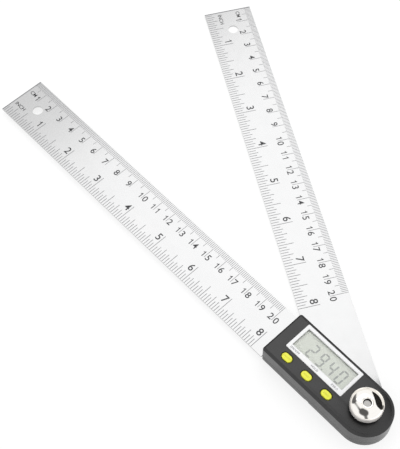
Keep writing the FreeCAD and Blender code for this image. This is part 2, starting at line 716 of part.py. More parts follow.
def make_display():
    """Bezel, window, liquid crystal panel, its holder and the two elastic contact strips."""
    opening_end = "(Places.bezel_length / 2 - Sizes.bezel_border)"
    opening = box_loop(f"-{opening_end}", opening_end, "Sizes.bezel_border - Places.bezel_width / 2",
                       "Places.bezel_width / 2 - Sizes.bezel_foot_border")
    plate("display_bezel", "Heights.window_top", "Heights.bezel_top - Heights.window_top", *DISPLAY_CENTRE,
          [centred_loop("Places.bezel_length", "Places.bezel_width"), opening])
    plate("display_window", "Heights.roof_under", "Sizes.window_thickness", *DISPLAY_CENTRE,
          [centred_loop("Places.window_length", "Places.window_width")])
    panel_height = "Heights.panel_top - Heights.panel_bottom"
    plate("display_panel", "Heights.panel_bottom", panel_height, *DISPLAY_CENTRE,
          [centred_loop("Places.panel_length", "Places.panel_width")])
    plate("display_holder", "Heights.board_top", "Heights.roof_under - Heights.board_top", *DISPLAY_CENTRE,
          [centred_loop("Places.holder_length", "Places.holder_width"),
           centred_loop("Places.holder_length - 2 * Sizes.holder_wall",
                        "Places.holder_width - 2 * Sizes.holder_wall")])
    for node, way in (("upper_contact_strip", "-"), ("lower_contact_strip", "")):
        plate(node, "Heights.board_top", "Heights.panel_bottom - Heights.board_top",
              "Places.display_reach", f"Places.display_side + ({way}Places.strip_side)",
              [centred_loop("Places.panel_length", "Sizes.contact_strip_width")])


def make_key(key, reach):
    """One key: cap, flange and stem, with its switch on the board and the switch's plunger."""
    cap = new_body(f"{key}_button")
    side = "Places.key_side"
    flange = new_sketch(cap, "flange", "Heights.key_flange_bottom", reach, side)
    add_loop(flange, pill_loop("Sizes.key_length + 2 * Sizes.key_flange_border",
                               "Sizes.key_width + 2 * Sizes.key_flange_border"))
    pad(cap, flange, "Heights.key_flange_top - Heights.key_flange_bottom")
    crown = new_sketch(cap, "crown", "Heights.key_flange_bottom", reach, side)
    add_loop(crown, pill_loop("Sizes.key_length", "Sizes.key_width"))
    pad(cap, crown, "Heights.key_top - Heights.key_flange_bottom")
    dress(cap, "Fillet", level_edge("Heights.key_top"), "Radius", "Sizes.key_edge_radius")
    stem = new_sketch(cap, "stem", "Heights.plunger_top", reach, side)
    add_circle(stem, "Sizes.key_stem_radius")
    pad(cap, stem, "Heights.key_flange_top - Heights.plunger_top")
    switch_height = "Heights.switch_top - Heights.board_top"
    switch = plate(f"{key}_switch", "Heights.board_top", switch_height, reach, side,
                   [centred_loop("Sizes.switch_width", "Sizes.switch_width")])
    well = add_circle(new_sketch(switch, "well", "Heights.switch_top", reach, side),
                      "Sizes.plunger_radius + Sizes.fit_gap")
    cut(switch, well, f"{switch_height} - Sizes.switch_floor")
    plunger = new_body(f"{key}_plunger")
    rod = new_sketch(plunger, "rod", "Heights.plunger_bottom", reach, side)
    add_circle(rod, "Sizes.plunger_radius")
    pad(plunger, rod, "Heights.plunger_top - Heights.plunger_bottom")


def make_board():
    """The circuit board, under the display and over the rotor, with what is soldered on it."""
    body = new_body("circuit_board")
    plan = new_sketch(body, "plan", "Heights.board_bottom")
    add_loop(plan, head_loop("Sizes.wall_thickness + Sizes.board_edge_gap"))
    pad(body, plan, "Sizes.board_thickness")
    through = "Sizes.board_thickness + Sizes.overrun"
    notches = new_sketch(body, "notches", "Heights.board_top")
    cut(body, circles(notches, "Sizes.board_notch_radius", SCREW_POSTS), through)
    hub_hole = new_sketch(body, "hub_hole", "Heights.board_top")
    cut(body, add_circle(hub_hole, "Sizes.board_hole_radius"), through)
    holes = new_sketch(body, "screw_holes", "Heights.board_top")
    cut(body, circles(holes, "Sizes.board_screw_radius + Sizes.fit_gap", BOARD_POSTS), through)
    plate("controller_chip", "Heights.board_top", "Sizes.chip_share * Heights.room", *DISPLAY_CENTRE,
          [centred_loop("Sizes.chip_length", "Places.chip_width")])
    crystal = doc.addObject("Part::Cylinder", "timing_crystal")
    crystal.Label = "timing_crystal"
    crystal.Placement = FreeCAD.Placement(FreeCAD.Vector(), FreeCAD.Rotation(FreeCAD.Vector(0, 1, 0), 90))
    bind(crystal, Radius="Places.crystal_radius", Height="Sizes.crystal_length")
    bind(crystal, Placement__Base__x="Places.crystal_start",
         Placement__Base__y="Places.display_side",
         Placement__Base__z="Heights.board_top + Places.crystal_radius")
    NODES.append(crystal)
    chips = []
    for place in range(CAPACITORS):
        part = doc.addObject("Part::Box", f"capacitor_{place + 1}")
        bind(part, Length="Sizes.capacitor_width", Width="Sizes.capacitor_length",
             Height="Sizes.capacitor_width")
        shift = f"Places.chip_side - Places.chip_room * {place + 1} / {CAPACITORS + 1}"
        bind(part, Placement__Base__x=shift, Placement__Base__z="Heights.board_top",
             Placement__Base__y="Places.display_side - Sizes.capacitor_length / 2")
        chips.append(part)
    group("board_capacitors", chips)


def make_pivot():
    """Bush in the lower shell, hub on the moving rule, rotor on the hub, bolt through all, washers."""
    bore = "Sizes.hub_radius + Sizes.fit_gap"
    turned_piece("pivot_bush", [
        (bore, "Heights.head_bottom"), ("Places.bush_radius", "Heights.head_bottom"),
        ("Places.bush_radius", "Heights.boss_top"), ("Sizes.bush_flange_radius", "Heights.boss_top"),
        ("Sizes.bush_flange_radius", "Heights.bush_top"), (bore, "Heights.bush_top")])
    hub = turned_piece("pivot_hub", [
        ("Sizes.bolt_radius", "Heights.arm_top"), ("Sizes.hub_radius", "Heights.arm_top"),
        ("Sizes.hub_radius", "Heights.rotor_bottom"), ("Sizes.rotor_seat_radius", "Heights.rotor_bottom"),
        ("Sizes.rotor_seat_radius", "Heights.rotor_top"), ("Sizes.bolt_radius", "Heights.rotor_top")])
    tapped = new_sketch(hub, "screw_hole", "Sizes.hub_screw_length + Sizes.running_gap")
    add_circle(tapped, "Sizes.hub_screw_radius", "Sizes.hub_screw_circle")
    ring_pattern(hub, cut(hub, tapped, "Sizes.hub_screw_length"), tapped, HUB_SCREWS)
    swung(hub)
    turned_piece("rotor_disc", ring_profile("Sizes.rotor_seat_radius", "Places.rotor_radius",
                                            "Heights.rotor_bottom", "Heights.rotor_top"))
    turned_piece("friction_washer", ring_profile(
        "Places.washer_bore", "Places.washer_bore + Sizes.friction_washer_width", "Heights.arm_top",
        "Heights.arm_top + Sizes.friction_washer_thickness"))
    bolt = new_body("pivot_bolt")
    pad(bolt, add_circle(new_sketch(bolt, "head"), "Sizes.bolt_head_radius"), "Sizes.rule_thickness")
    pad(bolt, add_circle(new_sketch(bolt, "shank"), "Sizes.bolt_radius"), "Heights.bolt_end")
    dress(bolt, "Chamfer", level_edge("Heights.bolt_end"), "Size", "Sizes.knob_rim_bevel")
    screws = []
    for place in range(HUB_SCREWS):
        turn_angle = f"{place} * 360 / {HUB_SCREWS} - Sizes.arm_angle"
        x = f"Sizes.hub_screw_circle * cos({turn_angle})"
        y = f"Sizes.hub_screw_circle * sin({turn_angle})"
        screws.append(headed_pin(f"hub_screw_{place + 1}", "Sizes.hub_screw_head_radius", "Sizes.fit_gap",
                                 "Sizes.rule_thickness", "Sizes.hub_screw_radius", "Sizes.fit_gap",
                                 "Sizes.hub_screw_length", x, y))
    group("hub_screws", screws)


def make_knob():
    """The lock knob, turned: neck, drum with a raised rim, low dome and bored hub, and its washer."""
    bore = "Sizes.bolt_radius + Sizes.fit_gap"
    rim = "Sizes.knob_radius"
    bevel = "Sizes.knob_rim_bevel"
    foot = "Places.dome_foot"
    hub = "Sizes.knob_hub_radius"
    foot_height = f"Heights.knob_dome_centre + sqrt(Places.dome_radius ^ 2 - {foot} ^ 2)"
    hub_height = f"Heights.knob_dome_centre + sqrt(Places.dome_radius ^ 2 - {hub} ^ 2)"
    turned_piece("lock_knob", [
        (bore, "Heights.knob_seat"), ("Sizes.knob_neck_radius", "Heights.knob_seat"),
        ("Sizes.knob_neck_radius", "Heights.knob_under"), (f"{rim} - {bevel}", "Heights.knob_under"),
        (rim, f"Heights.knob_under + {bevel}"), (rim, f"Heights.knob_rim_top - {bevel}"),
        (f"{rim} - {bevel}", "Heights.knob_rim_top"),
        (f"{rim} - Sizes.knob_rim_width", "Heights.knob_rim_top"),
        (f"{rim} - Sizes.knob_rim_width - {bevel}", "Heights.knob_dish"),
        (foot, foot_height, "0", "Heights.knob_dome_centre", 1),
        (hub, hub_height), (hub, "Heights.knob_top - Sizes.knob_hub_bevel"),
        (f"{hub} - Sizes.knob_hub_bevel", "Heights.knob_top"), (bore, "Heights.knob_top")])
    turned_piece("knob_washer", ring_profile(
        "Sizes.bolt_radius + Sizes.running_gap", "Sizes.knob_washer_radius",
        "Heights.head_top", "Heights.knob_seat"))


def make_battery():
    """Coin cell, the ring that centres it, its two contacts and the door that turns to unlock."""
    centre = ("Places.cell_reach", "0")
    cell = new_body("battery_cell")
    can = add_circle(new_sketch(cell, "can", "Heights.cell_bottom", *centre), "Places.cell_radius")
    pad(cell, can, "Heights.cell_top - Heights.cell_bottom - Sizes.cell_rim_step")
    cap = new_sketch(cell, "cap", "Heights.cell_bottom", *centre)
    add_circle(cap, "Places.cell_radius - Sizes.cell_rim")
    pad(cell, cap, "Heights.cell_top - Heights.cell_bottom")
    ring = new_body("battery_holder")
    band = new_sketch(ring, "band", "Heights.holder_ring_bottom", *centre)
    add_circle(band, "Places.ring_outer_radius")
    add_circle(band, "Places.ring_inner_radius")
    pad(ring, band, "Heights.board_bottom - Heights.holder_ring_bottom")
    gap = new_sketch(ring, "contact_gap", "Heights.board_bottom", *centre)
    half = "(Sizes.contact_width / 2 + Sizes.holder_ring_gap)"
    add_loop(gap, box_loop("Places.cell_radius / 2", "Places.ring_outer_radius + Sizes.overrun",
                           f"-{half}", half))
    cut(ring, gap, "Heights.board_bottom - Heights.holder_ring_bottom + Sizes.overrun")
    door = new_body("battery_door")
    disc = add_circle(new_sketch(door, "disc", "Heights.head_bottom", *centre), "Places.door_radius")
    pad(door, disc, "Sizes.floor_thickness")
    band = new_sketch(door, "band", "Heights.head_bottom", *centre)
    add_circle(band, "Places.door_radius")
    add_circle(band, "Places.door_radius - Sizes.door_ring_wall")
    pad(door, band, "Heights.lug_top - Heights.head_bottom")
    slot = new_sketch(door, "coin_slot", "Heights.head_bottom + Sizes.door_slot_depth", *centre)
    add_loop(slot, pill_loop("Sizes.door_slot_length", "Sizes.door_slot_width"))
    cut(door, slot, "Sizes.door_slot_depth + Sizes.overrun")
    lug = new_sketch(door, "lug", "Heights.lug_bottom", *centre)
    add_loop(lug, box_loop("-Sizes.lug_width / 2", "Sizes.lug_width / 2",
                           "Places.door_radius - Sizes.door_ring_wall / 2", "Places.lug_reach"))
    ring_pattern(door, pad(door, lug, "Sizes.lug_thickness"), lug, LUGS)
    leaf_low = "Heights.board_bottom - Sizes.contact_leaf"
    leaf = plate("negative_contact", leaf_low, "Sizes.contact_leaf", *centre,
                 [centred_loop("Sizes.contact_length", "Sizes.contact_width")])
    dimple = new_sketch(leaf, "dimple", "Heights.cell_top", *centre)
    add_circle(dimple, "Sizes.contact_dimple_radius")
    pad(leaf, dimple, "Heights.board_bottom - Heights.cell_top")
    half = "Sizes.contact_width / 2"
    side = new_body("positive_contact")
    wall = add_loop(new_sketch(side, "wall", "Heights.holder_ring_bottom", *centre), box_loop(
        "Places.cell_radius", "Places.cell_radius + Sizes.contact_leaf", f"-{half}", half))
    pad(side, wall, "Heights.board_bottom - Heights.holder_ring_bottom")
    foot = add_loop(new_sketch(side, "foot", leaf_low, *centre), box_loop(
        "Places.cell_radius", "Places.cell_radius + Sizes.contact_foot", f"-{half}", half))
    pad(side, foot, "Sizes.contact_leaf")


def make_fasteners():
    """Screws of the shells and of the board, and the rivets of the fixed rule."""
    head_low = "Heights.head_bottom + Sizes.screw_gap"
    screws = [headed_pin(f"housing_screw_{place + 1}", "Sizes.housing_screw_head_radius", head_low,
                         "Heights.head_bottom + Sizes.housing_screw_head_height + Sizes.screw_gap",
                         "Sizes.housing_screw_radius", head_low,
                         "Heights.head_bottom + Sizes.housing_screw_length", x, y)
              for place, (x, y) in enumerate(SCREW_POSTS)]
    group("housing_screws", screws)
    head_low = "Heights.board_bottom - Sizes.board_screw_head_height"
    screws = [headed_pin(f"board_screw_{place + 1}", "Sizes.board_screw_head_radius", head_low,
                         "Heights.board_bottom", "Sizes.board_screw_radius", head_low,
                         "Heights.board_bottom + Sizes.board_screw_length", x, y)
              for place, (x, y) in enumerate(BOARD_POSTS)]
    group("board_screws", screws)
    rivets = []
    for place, (x, y) in enumerate(RIVETS):
        lower = headed_pin(f"rivet_{place + 1}_lower", "Sizes.rivet_head_radius", "Heights.head_bottom",
                           "Heights.head_bottom + Sizes.rivet_head_height", "Sizes.rivet_radius",
                           "Heights.head_bottom", "Heights.rule_top", x, y)
        upper = cylinder(f"rivet_{place + 1}_upper", "Sizes.rivet_head_radius", "Heights.rule_top",
                         "Heights.rule_top + Sizes.rivet_head_height", x, y)
        rivet = doc.addObject("Part::Fuse", f"rivet_{place + 1}")
        rivet.Base = lower
        rivet.Tool = upper
        rivets.append(rivet)
    group("rule_rivets", rivets)


make_fixed_rule()
make_moving_rule()
make_bottom_housing()
make_top_housing()
make_display()
for key_name, key_place in KEYS.items():
    make_key(key_name, key_place)
make_board()
make_pivot()
make_knob()
make_battery()
make_fasteners()
doc.recompute()

for thing in doc.Objects:
    if "Invalid" in thing.State or "Error" in thing.State:
        raise RuntimeError(f"{thing.Name} did not build: {thing.State}")
for node in NODES:
    if node.Shape.isNull() or not node.Shape.isValid():
        raise RuntimeError(f"{node.Label} has no valid shape")

os.makedirs("parts", exist_ok=True)
for node in NODES:
    node.Shape.exportStep(os.path.join("parts", f"{node.Label}.step"))
    print(node.Label, "solids", len(node.Shape.Solids), "volume", round(node.Shape.Volume, 2))
print(len(NODES), "nodes")
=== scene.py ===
# %% [markdown]
# This lesson dresses a digital angle finder: two graduated steel rules that turn on one pivot, and a black
# plastic head with a display, three yellow keys and a chromed lock knob. The solids come from the frame,
# which also says how each piece moves. Each step below says what a piece or finish is on the real tool,
# how it could be made, and why one way was chosen.

# %% Load the frame
import json
import math

import bmesh
import bpy
from mathutils import Matrix, Vector
from mathutils.geometry import tessellate_polygon


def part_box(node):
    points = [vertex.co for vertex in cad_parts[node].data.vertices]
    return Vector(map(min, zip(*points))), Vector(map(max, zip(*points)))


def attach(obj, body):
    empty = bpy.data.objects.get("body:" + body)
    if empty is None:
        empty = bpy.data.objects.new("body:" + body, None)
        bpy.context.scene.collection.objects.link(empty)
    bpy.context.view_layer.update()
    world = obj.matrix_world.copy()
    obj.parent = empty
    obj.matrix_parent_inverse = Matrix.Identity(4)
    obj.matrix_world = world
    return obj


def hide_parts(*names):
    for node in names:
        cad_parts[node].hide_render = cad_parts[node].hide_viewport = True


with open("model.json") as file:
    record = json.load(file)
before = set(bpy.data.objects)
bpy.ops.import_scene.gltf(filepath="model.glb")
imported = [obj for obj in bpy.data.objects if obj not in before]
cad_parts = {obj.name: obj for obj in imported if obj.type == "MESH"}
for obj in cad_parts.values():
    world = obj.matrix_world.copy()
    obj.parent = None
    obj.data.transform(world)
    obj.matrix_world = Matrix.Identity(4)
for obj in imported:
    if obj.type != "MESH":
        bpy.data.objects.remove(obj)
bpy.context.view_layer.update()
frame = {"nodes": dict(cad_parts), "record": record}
scene = bpy.context.scene

# %% [markdown]
# Blender works in metres, but a tool like this is drawn in millimetres. So every size below is written in
# millimetres and turned into metres at the moment a mesh is made. The main levels are read off the frame,
# which keeps the printed scales and the display in place if a solid moves.

# %% Levels and reaches
MM = 0.001


def box_mm(node):
    """The lowest and highest corner of a solid, in millimetres."""
    return [[value / MM for value in corner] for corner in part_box(node)]


RULE_REACH, RULE_HALF, RULE_TOP = box_mm("fixed_rule")[1]
ARM_TOP = box_mm("moving_rule")[1][2]
ARM_ANGLE = 29.4
HEAD_REACH, HEAD_HALF, HEAD_TOP = box_mm("top_housing")[1]
SEAM = box_mm("top_housing")[0][2]
BEZEL_LOW, BEZEL_HIGH = box_mm("display_bezel")
PANEL_TOP = box_mm("display_panel")[1][2]
PANE_LOW, PANE_HIGH = box_mm("display_window")
ROOF_UNDER, WINDOW_TOP = PANE_LOW[2], PANE_HIGH[2]
print("rule reach", round(RULE_REACH, 2), "head top", round(HEAD_TOP, 2), "bezel", BEZEL_LOW, BEZEL_HIGH)

# %% [markdown]
# The camera stands where the photographer's stood: up over the inch edge of the fixed rule, behind the
# pivot, with the far ends of both rules at the top of the picture. A camera can be aimed by angles, but
# three facts are easier to read: where it is, what point it looks at, and which way is up in the picture.

# %% Camera
camera_place = Vector((-85.81, 174.43, 496.06)) * MM
camera_target = Vector((132.36, -15.73, 3.4)) * MM
picture_up = Vector((0.6252, -0.5941, 0.5062))
toward_camera = (camera_place - camera_target).normalized()
picture_right = picture_up.cross(toward_camera).normalized()
picture_up = toward_camera.cross(picture_right)
turned = Matrix((picture_right, picture_up, toward_camera)).transposed()

camera = bpy.data.objects.new("camera", bpy.data.cameras.new("camera"))
camera.data.lens = 85.94
camera.data.clip_start = 0.02
camera.matrix_world = Matrix.Translation(camera_place) @ turned.to_4x4()
scene.collection.objects.link(camera)
scene.camera = camera
print("camera", [round(value, 3) for value in camera_place], "lens", camera.data.lens)

# %% [markdown]
# Polished chrome and satin steel have hardly any colour of their own: they show the room. Such a tool is
# shown in a white tent: pale all round, with a dark opening for the lens, the zip that it opens along, and
# a dark skirting low at one side. The world can be that tent, because a world shader may give each
# direction its own brightness. One softbox near the tool makes the flat steel flash almost white.

# %% Node helpers
def add_node(tree, kind, **settings):
    """A node with some of its properties and, by name, its input values set."""
    node = tree.nodes.new(kind)
    for name, value in settings.items():
        if hasattr(node, name):
            setattr(node, name, value)
        else:
            node.inputs[name.replace("_", " ")].default_value = value
    return node


def wire(tree, start, end):
    """Join an output to an input, each given as (node, socket name or number)."""
    tree.links.new(start[0].outputs[start[1]], end[0].inputs[end[1]])


def mix_colours(tree, mask, low, high):
    """A node that goes from one colour to another as a mask goes from 0 to 1. Its result is output 2."""
    node = add_node(tree, "ShaderNodeMix", data_type="RGBA")
    node.inputs[6].default_value = (*low, 1)
    node.inputs[7].default_value = (*high, 1)
    wire(tree, mask, (node, 0))
    return node


print("helpers ready")

# %% World
TENT = (1.05, 1.05, 1.05)
DARK = (0.035, 0.033, 0.032)
# Each stroke runs from one direction to another, given as azimuth and elevation. Its half width follows,
# all in degrees, and then how dark it is, from 0 to 1.
DARK_STROKES = {
    "lens opening": [((85, 76), (128, 76), 11, 0.93)],
    "zip": [((60, 72), (5, 44), 3.5, 0.95), ((5, 44), (-24, 12), 8, 0.9), ((125, 74), (139, 58), 5, 0.85)],
    "skirting": [((-106, 3), (-58, 3), 8, 1.0)],
}
STROKE_EDGE = 2.5


def direction_of(azimuth, elevation):
    """A unit vector from two angles in degrees, the azimuth from +X towards +Y."""
    turn, rise = math.radians(azimuth), math.radians(elevation)
    return Vector((math.cos(rise) * math.cos(turn), math.cos(rise) * math.sin(turn), math.sin(rise)))


def stroke_mask(tree, looking, first, last, radius, depth):
    """How dark a direction is near a stroke between two directions: depth on it, 0 away from it."""
    first, last = direction_of(*first), direction_of(*last)
    run = last - first
    offset = add_node(tree, "ShaderNodeVectorMath", operation="SUBTRACT")
    wire(tree, looking, (offset, 0))
    offset.inputs[1].default_value = first
    share = add_node(tree, "ShaderNodeVectorMath", operation="DOT_PRODUCT")
    wire(tree, (offset, 0), (share, 0))
    share.inputs[1].default_value = run / run.length_squared
    held = add_node(tree, "ShaderNodeClamp")
    wire(tree, (share, "Value"), (held, 0))
    along = add_node(tree, "ShaderNodeVectorMath", operation="SCALE")
    along.inputs[0].default_value = run
    wire(tree, (held, 0), (along, "Scale"))
    apart = add_node(tree, "ShaderNodeVectorMath", operation="DISTANCE")
    wire(tree, (offset, 0), (apart, 0))
    wire(tree, (along, 0), (apart, 1))
    mask = add_node(tree, "ShaderNodeMapRange", interpolation_type="SMOOTHSTEP")
    mask.inputs["From Min"].default_value = math.radians(radius - STROKE_EDGE)
    mask.inputs["From Max"].default_value = math.radians(radius + STROKE_EDGE)
    mask.inputs["To Min"].default_value = depth
    mask.inputs["To Max"].default_value = 0.0
    wire(tree, (apart, "Value"), (mask, "Value"))
    return mask, 0


world = bpy.data.worlds.new("white_tent")
world.use_nodes = True
scene.world = world
tree = world.node_tree
sky = tree.nodes["Background"]
looking = (add_node(tree, "ShaderNodeTexCoord"), "Generated")
shade = None
for strokes in DARK_STROKES.values():
    for stroke in strokes:
        mask = stroke_mask(tree, looking, *stroke)
        if shade:
            darkest = add_node(tree, "ShaderNodeMath", operation="MAXIMUM")
            wire(tree, shade, (darkest, 0))
            wire(tree, mask, (darkest, 1))
            mask = (darkest, 0)
        shade = mask
tent = mix_colours(tree, shade, TENT, DARK)
backdrop = add_node(tree, "ShaderNodeMix", data_type="RGBA")
backdrop.inputs[7].default_value = (1, 1, 1, 1)
wire(tree, (add_node(tree, "ShaderNodeLightPath"), "Is Camera Ray"), (backdrop, 0))
wire(tree, (tent, 2), (backdrop, 6))
wire(tree, (backdrop, 2), (sky, "Color"))
print("tent with", ", ".join(DARK_STROKES))

# %% Softbox
SOFTBOX_SIZE = (0.50, 0.58)
SOFTBOX_PLACE = (0.35, -0.35, 0.60)
SOFTBOX_WATTS = 0.60
softbox = bpy.data.objects.new("softbox", bpy.data.lights.new("softbox", "AREA"))
softbox.data.shape = "RECTANGLE"
softbox.data.size, softbox.data.size_y = SOFTBOX_SIZE
softbox.data.energy = SOFTBOX_WATTS
softbox.location = SOFTBOX_PLACE
softbox.visible_camera = False
scene.collection.objects.link(softbox)
print("softbox", softbox.data.energy, "W")

# %% [markdown]
# A small black card stands close to the knob, as photographers use to put a crisp dark edge in chrome. It
# could be one more dark part of the tent, but the tent is far away, so the flat rules would mirror it too
# and go black from that side. A card this near is mirrored mostly by the knob. The card and the floor are
# plain sheets of matt paper, so two helpers make both.

# %% Sheet helpers
def plain_sheet(name, corners, material):
    """A flat sheet with one face, from its corners in metres."""
    mesh = bpy.data.meshes.new(name)
    mesh.from_pydata(corners, [], [tuple(range(len(corners)))])
    mesh.materials.append(material)
    sheet = bpy.data.objects.new(name, mesh)
    scene.collection.objects.link(sheet)
    return sheet


def matt_paper(name, colour):
    """A material with no gloss."""
    material = bpy.data.materials.new(name)
    material.use_nodes = True
    shader = material.node_tree.nodes["Principled BSDF"]
    shader.inputs["Base Color"].default_value = (*colour, 1)
    shader.inputs["Roughness"].default_value = 0.9
    shader.inputs["Specular IOR Level"].default_value = 0.0
    return material


print("sheet helpers ready")

# %% Knob card
# The card stands upright, so its outline is in X and Z and its plane at one place along Y.
CARD_PLANE = -30
CARD_OUTLINE = [(-6, 22), (4, 23), (12, 25), (14, 28), (12, 33), (6, 40), (-5, 51), (-12, 57), (-21, 58),
                (-31, 50), (-31, 34), (-20, 25)]
card = plain_sheet("knob_card", [(x * MM, CARD_PLANE * MM, z * MM) for x, z in CARD_OUTLINE],
                   matt_paper("black_card", (0.03, 0.028, 0.027)))
card.visible_camera = False
card.visible_diffuse = False
card.visible_shadow = False
print("card", len(CARD_OUTLINE), "corners")

# %% [markdown]
# The floor is a plain pale sheet that keeps the tool's soft shadow. A little glow that only the eye and
# mirror-like surfaces see lifts it to white, so the lamps can stay at a level where colours look as
# written.

# %% Floor
FLOOR_HALF = 3.0
FLOOR_DROP = 0.00005
FLOOR_GLOW = 0.74
paper = matt_paper("white_paper", (0.30, 0.30, 0.30))
floor = plain_sheet("floor", [(x * FLOOR_HALF, y * FLOOR_HALF, -FLOOR_DROP)
                              for x, y in ((-1, -1), (1, -1), (1, 1), (-1, 1))], paper)
tree = paper.node_tree
shader = tree.nodes["Principled BSDF"]
shader.inputs["Emission Color"].default_value = (1, 1, 1, 1)
path = add_node(tree, "ShaderNodeLightPath")
seen = add_node(tree, "ShaderNodeMath", operation="MAXIMUM")
wire(tree, (path, "Is Camera Ray"), (seen, 0))
wire(tree, (path, "Is Glossy Ray"), (seen, 1))
either = add_node(tree, "ShaderNodeMath", operation="MAXIMUM")
wire(tree, (seen, 0), (either, 0))
wire(tree, (path, "Is Transmission Ray"), (either, 1))
glow = add_node(tree, "ShaderNodeMath", operation="MULTIPLY")
glow.inputs[1].default_value = FLOOR_GLOW
wire(tree, (either, 0), (glow, 0))
wire(tree, (glow, 0), (shader, "Emission Strength"))

# %% [markdown]
# Several finishes share one effect at different strengths, so each effect is a node group built once:
# the fine grain of moulded plastic, the long scratches of brushed steel, and the slow change of tone that
# handling leaves. A group puts out only numbers; the shader itself stays in each material.

# %% Effect groups
GRAIN_FINENESS, BRUSH_FINENESS, RING_FINENESS = 2500.0, 60.0, 1400.0
BRUSH_STRETCH = 120.0
BUMP_STRENGTH = 0.6


def effect_group(name, inputs, outputs):
    """An empty shader node group with named number sockets."""
    tree = bpy.data.node_groups.new(name, "ShaderNodeTree")
    for label, value in inputs.items():
        made = tree.interface.new_socket(name=label, in_out="INPUT", socket_type="NodeSocketFloat")
        made.default_value = value
    for label in outputs:
        tree.interface.new_socket(name=label, in_out="OUTPUT", socket_type="NodeSocketFloat")
    return tree, tree.nodes.new("NodeGroupInput"), tree.nodes.new("NodeGroupOutput")


def noise_of(tree, vector, fineness, detail):
    """A noise node over a vector. The fineness is a number of waves a metre, or an output."""
    noise = add_node(tree, "ShaderNodeTexNoise")
    noise.inputs["Detail"].default_value = detail
    wire(tree, vector, (noise, "Vector"))
    if isinstance(fineness, tuple):
        wire(tree, fineness, (noise, "Scale"))
    else:
        noise.inputs["Scale"].default_value = fineness
    return noise


grain_group, start, end = effect_group("moulded_grain", {"Fineness": GRAIN_FINENESS}, ["Height", "Tone"])
place = add_node(grain_group, "ShaderNodeTexCoord")
fine = noise_of(grain_group, (place, "Object"), (start, "Fineness"), 3.0)
wire(grain_group, (fine, 0), (end, "Height"))
broad = noise_of(grain_group, (place, "Object"), 90.0, 4.0)
wire(grain_group, (broad, 0), (end, "Tone"))

brush_group, start, end = effect_group("brushed_lines", {"Turn": 0.0, "Fineness": BRUSH_FINENESS},
                                       ["Height", "Tone"])
place = add_node(brush_group, "ShaderNodeTexCoord")
along = add_node(brush_group, "ShaderNodeVectorRotate", rotation_type="Z_AXIS")
wire(brush_group, (place, "Object"), (along, "Vector"))
wire(brush_group, (start, "Turn"), (along, "Angle"))
stretch = add_node(brush_group, "ShaderNodeVectorMath", operation="MULTIPLY")
stretch.inputs[1].default_value = (1.0, BRUSH_STRETCH, BRUSH_STRETCH)
wire(brush_group, (along, 0), (stretch, 0))
lines = noise_of(brush_group, (stretch, 0), (start, "Fineness"), 2.0)
wire(brush_group, (lines, 0), (end, "Height"))
cloud = noise_of(brush_group, (along, 0), 35.0, 3.0)
wire(brush_group, (cloud, 0), (end, "Tone"))

ring_group, start, end = effect_group("turned_rings", {"Fineness": RING_FINENESS}, ["Height", "Tone"])
place = add_node(ring_group, "ShaderNodeTexCoord")
flat = add_node(ring_group, "ShaderNodeVectorMath", operation="MULTIPLY")
flat.inputs[1].default_value = (1.0, 1.0, 0.0)
wire(ring_group, (place, "Object"), (flat, 0))
spread = add_node(ring_group, "ShaderNodeVectorMath", operation="LENGTH")
wire(ring_group, (flat, 0), (spread, 0))
apart = add_node(ring_group, "ShaderNodeSeparateXYZ")
wire(ring_group, (place, "Object"), (apart, 0))
section = add_node(ring_group, "ShaderNodeCombineXYZ")
wire(ring_group, (spread, "Value"), (section, 0))
wire(ring_group, (apart, 2), (section, 1))
rings = noise_of(ring_group, (section, 0), (start, "Fineness"), 3.0)
wire(ring_group, (rings, 0), (end, "Height"))
patches = noise_of(ring_group, (place, "Object"), 120.0, 3.0)
wire(ring_group, (patches, 0), (end, "Tone"))

wear_group, start, end = effect_group("handling", {"Low": 0.3, "High": 0.5}, ["Roughness"])
place = add_node(wear_group, "ShaderNodeTexCoord")
smear = noise_of(wear_group, (place, "Object"), 160.0, 5.0)
ranged = add_node(wear_group, "ShaderNodeMapRange")
ranged.inputs["From Min"].default_value = 0.3
ranged.inputs["From Max"].default_value = 0.7
wire(wear_group, (smear, 0), (ranged, "Value"))
wire(wear_group, (start, "Low"), (ranged, "To Min"))
wire(wear_group, (start, "High"), (ranged, "To Max"))
wire(wear_group, (ranged, 0), (end, "Roughness"))
print("groups", grain_group.name, brush_group.name, ring_group.name, wear_group.name)

# %% Finish builder
def place_group(tree, group, **values):
    """A group node with its inputs set by name."""
    node = tree.nodes.new("ShaderNodeGroup")
    node.node_tree = group
    for name, value in values.items():
        node.inputs[name].default_value = value
    return node


def finish(name, low, high, rough, grain=GRAIN_FINENESS, brushed=None, turned=None, depth=0.0, **constants):
    """A material whose colour drifts between two tones and whose roughness follows handling. Its bump
    comes from moulded grain, brushed lines or turned rings, as deep as depth in millimetres, and
    constants go on the shader's own sockets."""
    material = bpy.data.materials.new(name)
    material.use_nodes = True
    tree = material.node_tree
    shader = tree.nodes["Principled BSDF"]
    if brushed:
        effect = place_group(tree, brush_group, **brushed)
    elif turned:
        effect = place_group(tree, ring_group, Fineness=turned)
    else:
        effect = place_group(tree, grain_group, Fineness=grain)
    colour = mix_colours(tree, (effect, "Tone"), low, high)
    wire(tree, (colour, 2), (shader, "Base Color"))
    handled = place_group(tree, wear_group, Low=rough[0], High=rough[1])
    wire(tree, (handled, 0), (shader, "Roughness"))
    if depth:
        bump = add_node(tree, "ShaderNodeBump", Strength=BUMP_STRENGTH, Distance=depth * MM)
        wire(tree, (effect, "Height"), (bump, "Height"))
        wire(tree, (bump, 0), (shader, "Normal"))
    for socket_name, value in constants.items():
        shader.inputs[socket_name.replace("_", " ")].default_value = value
    return material


print("builder ready")

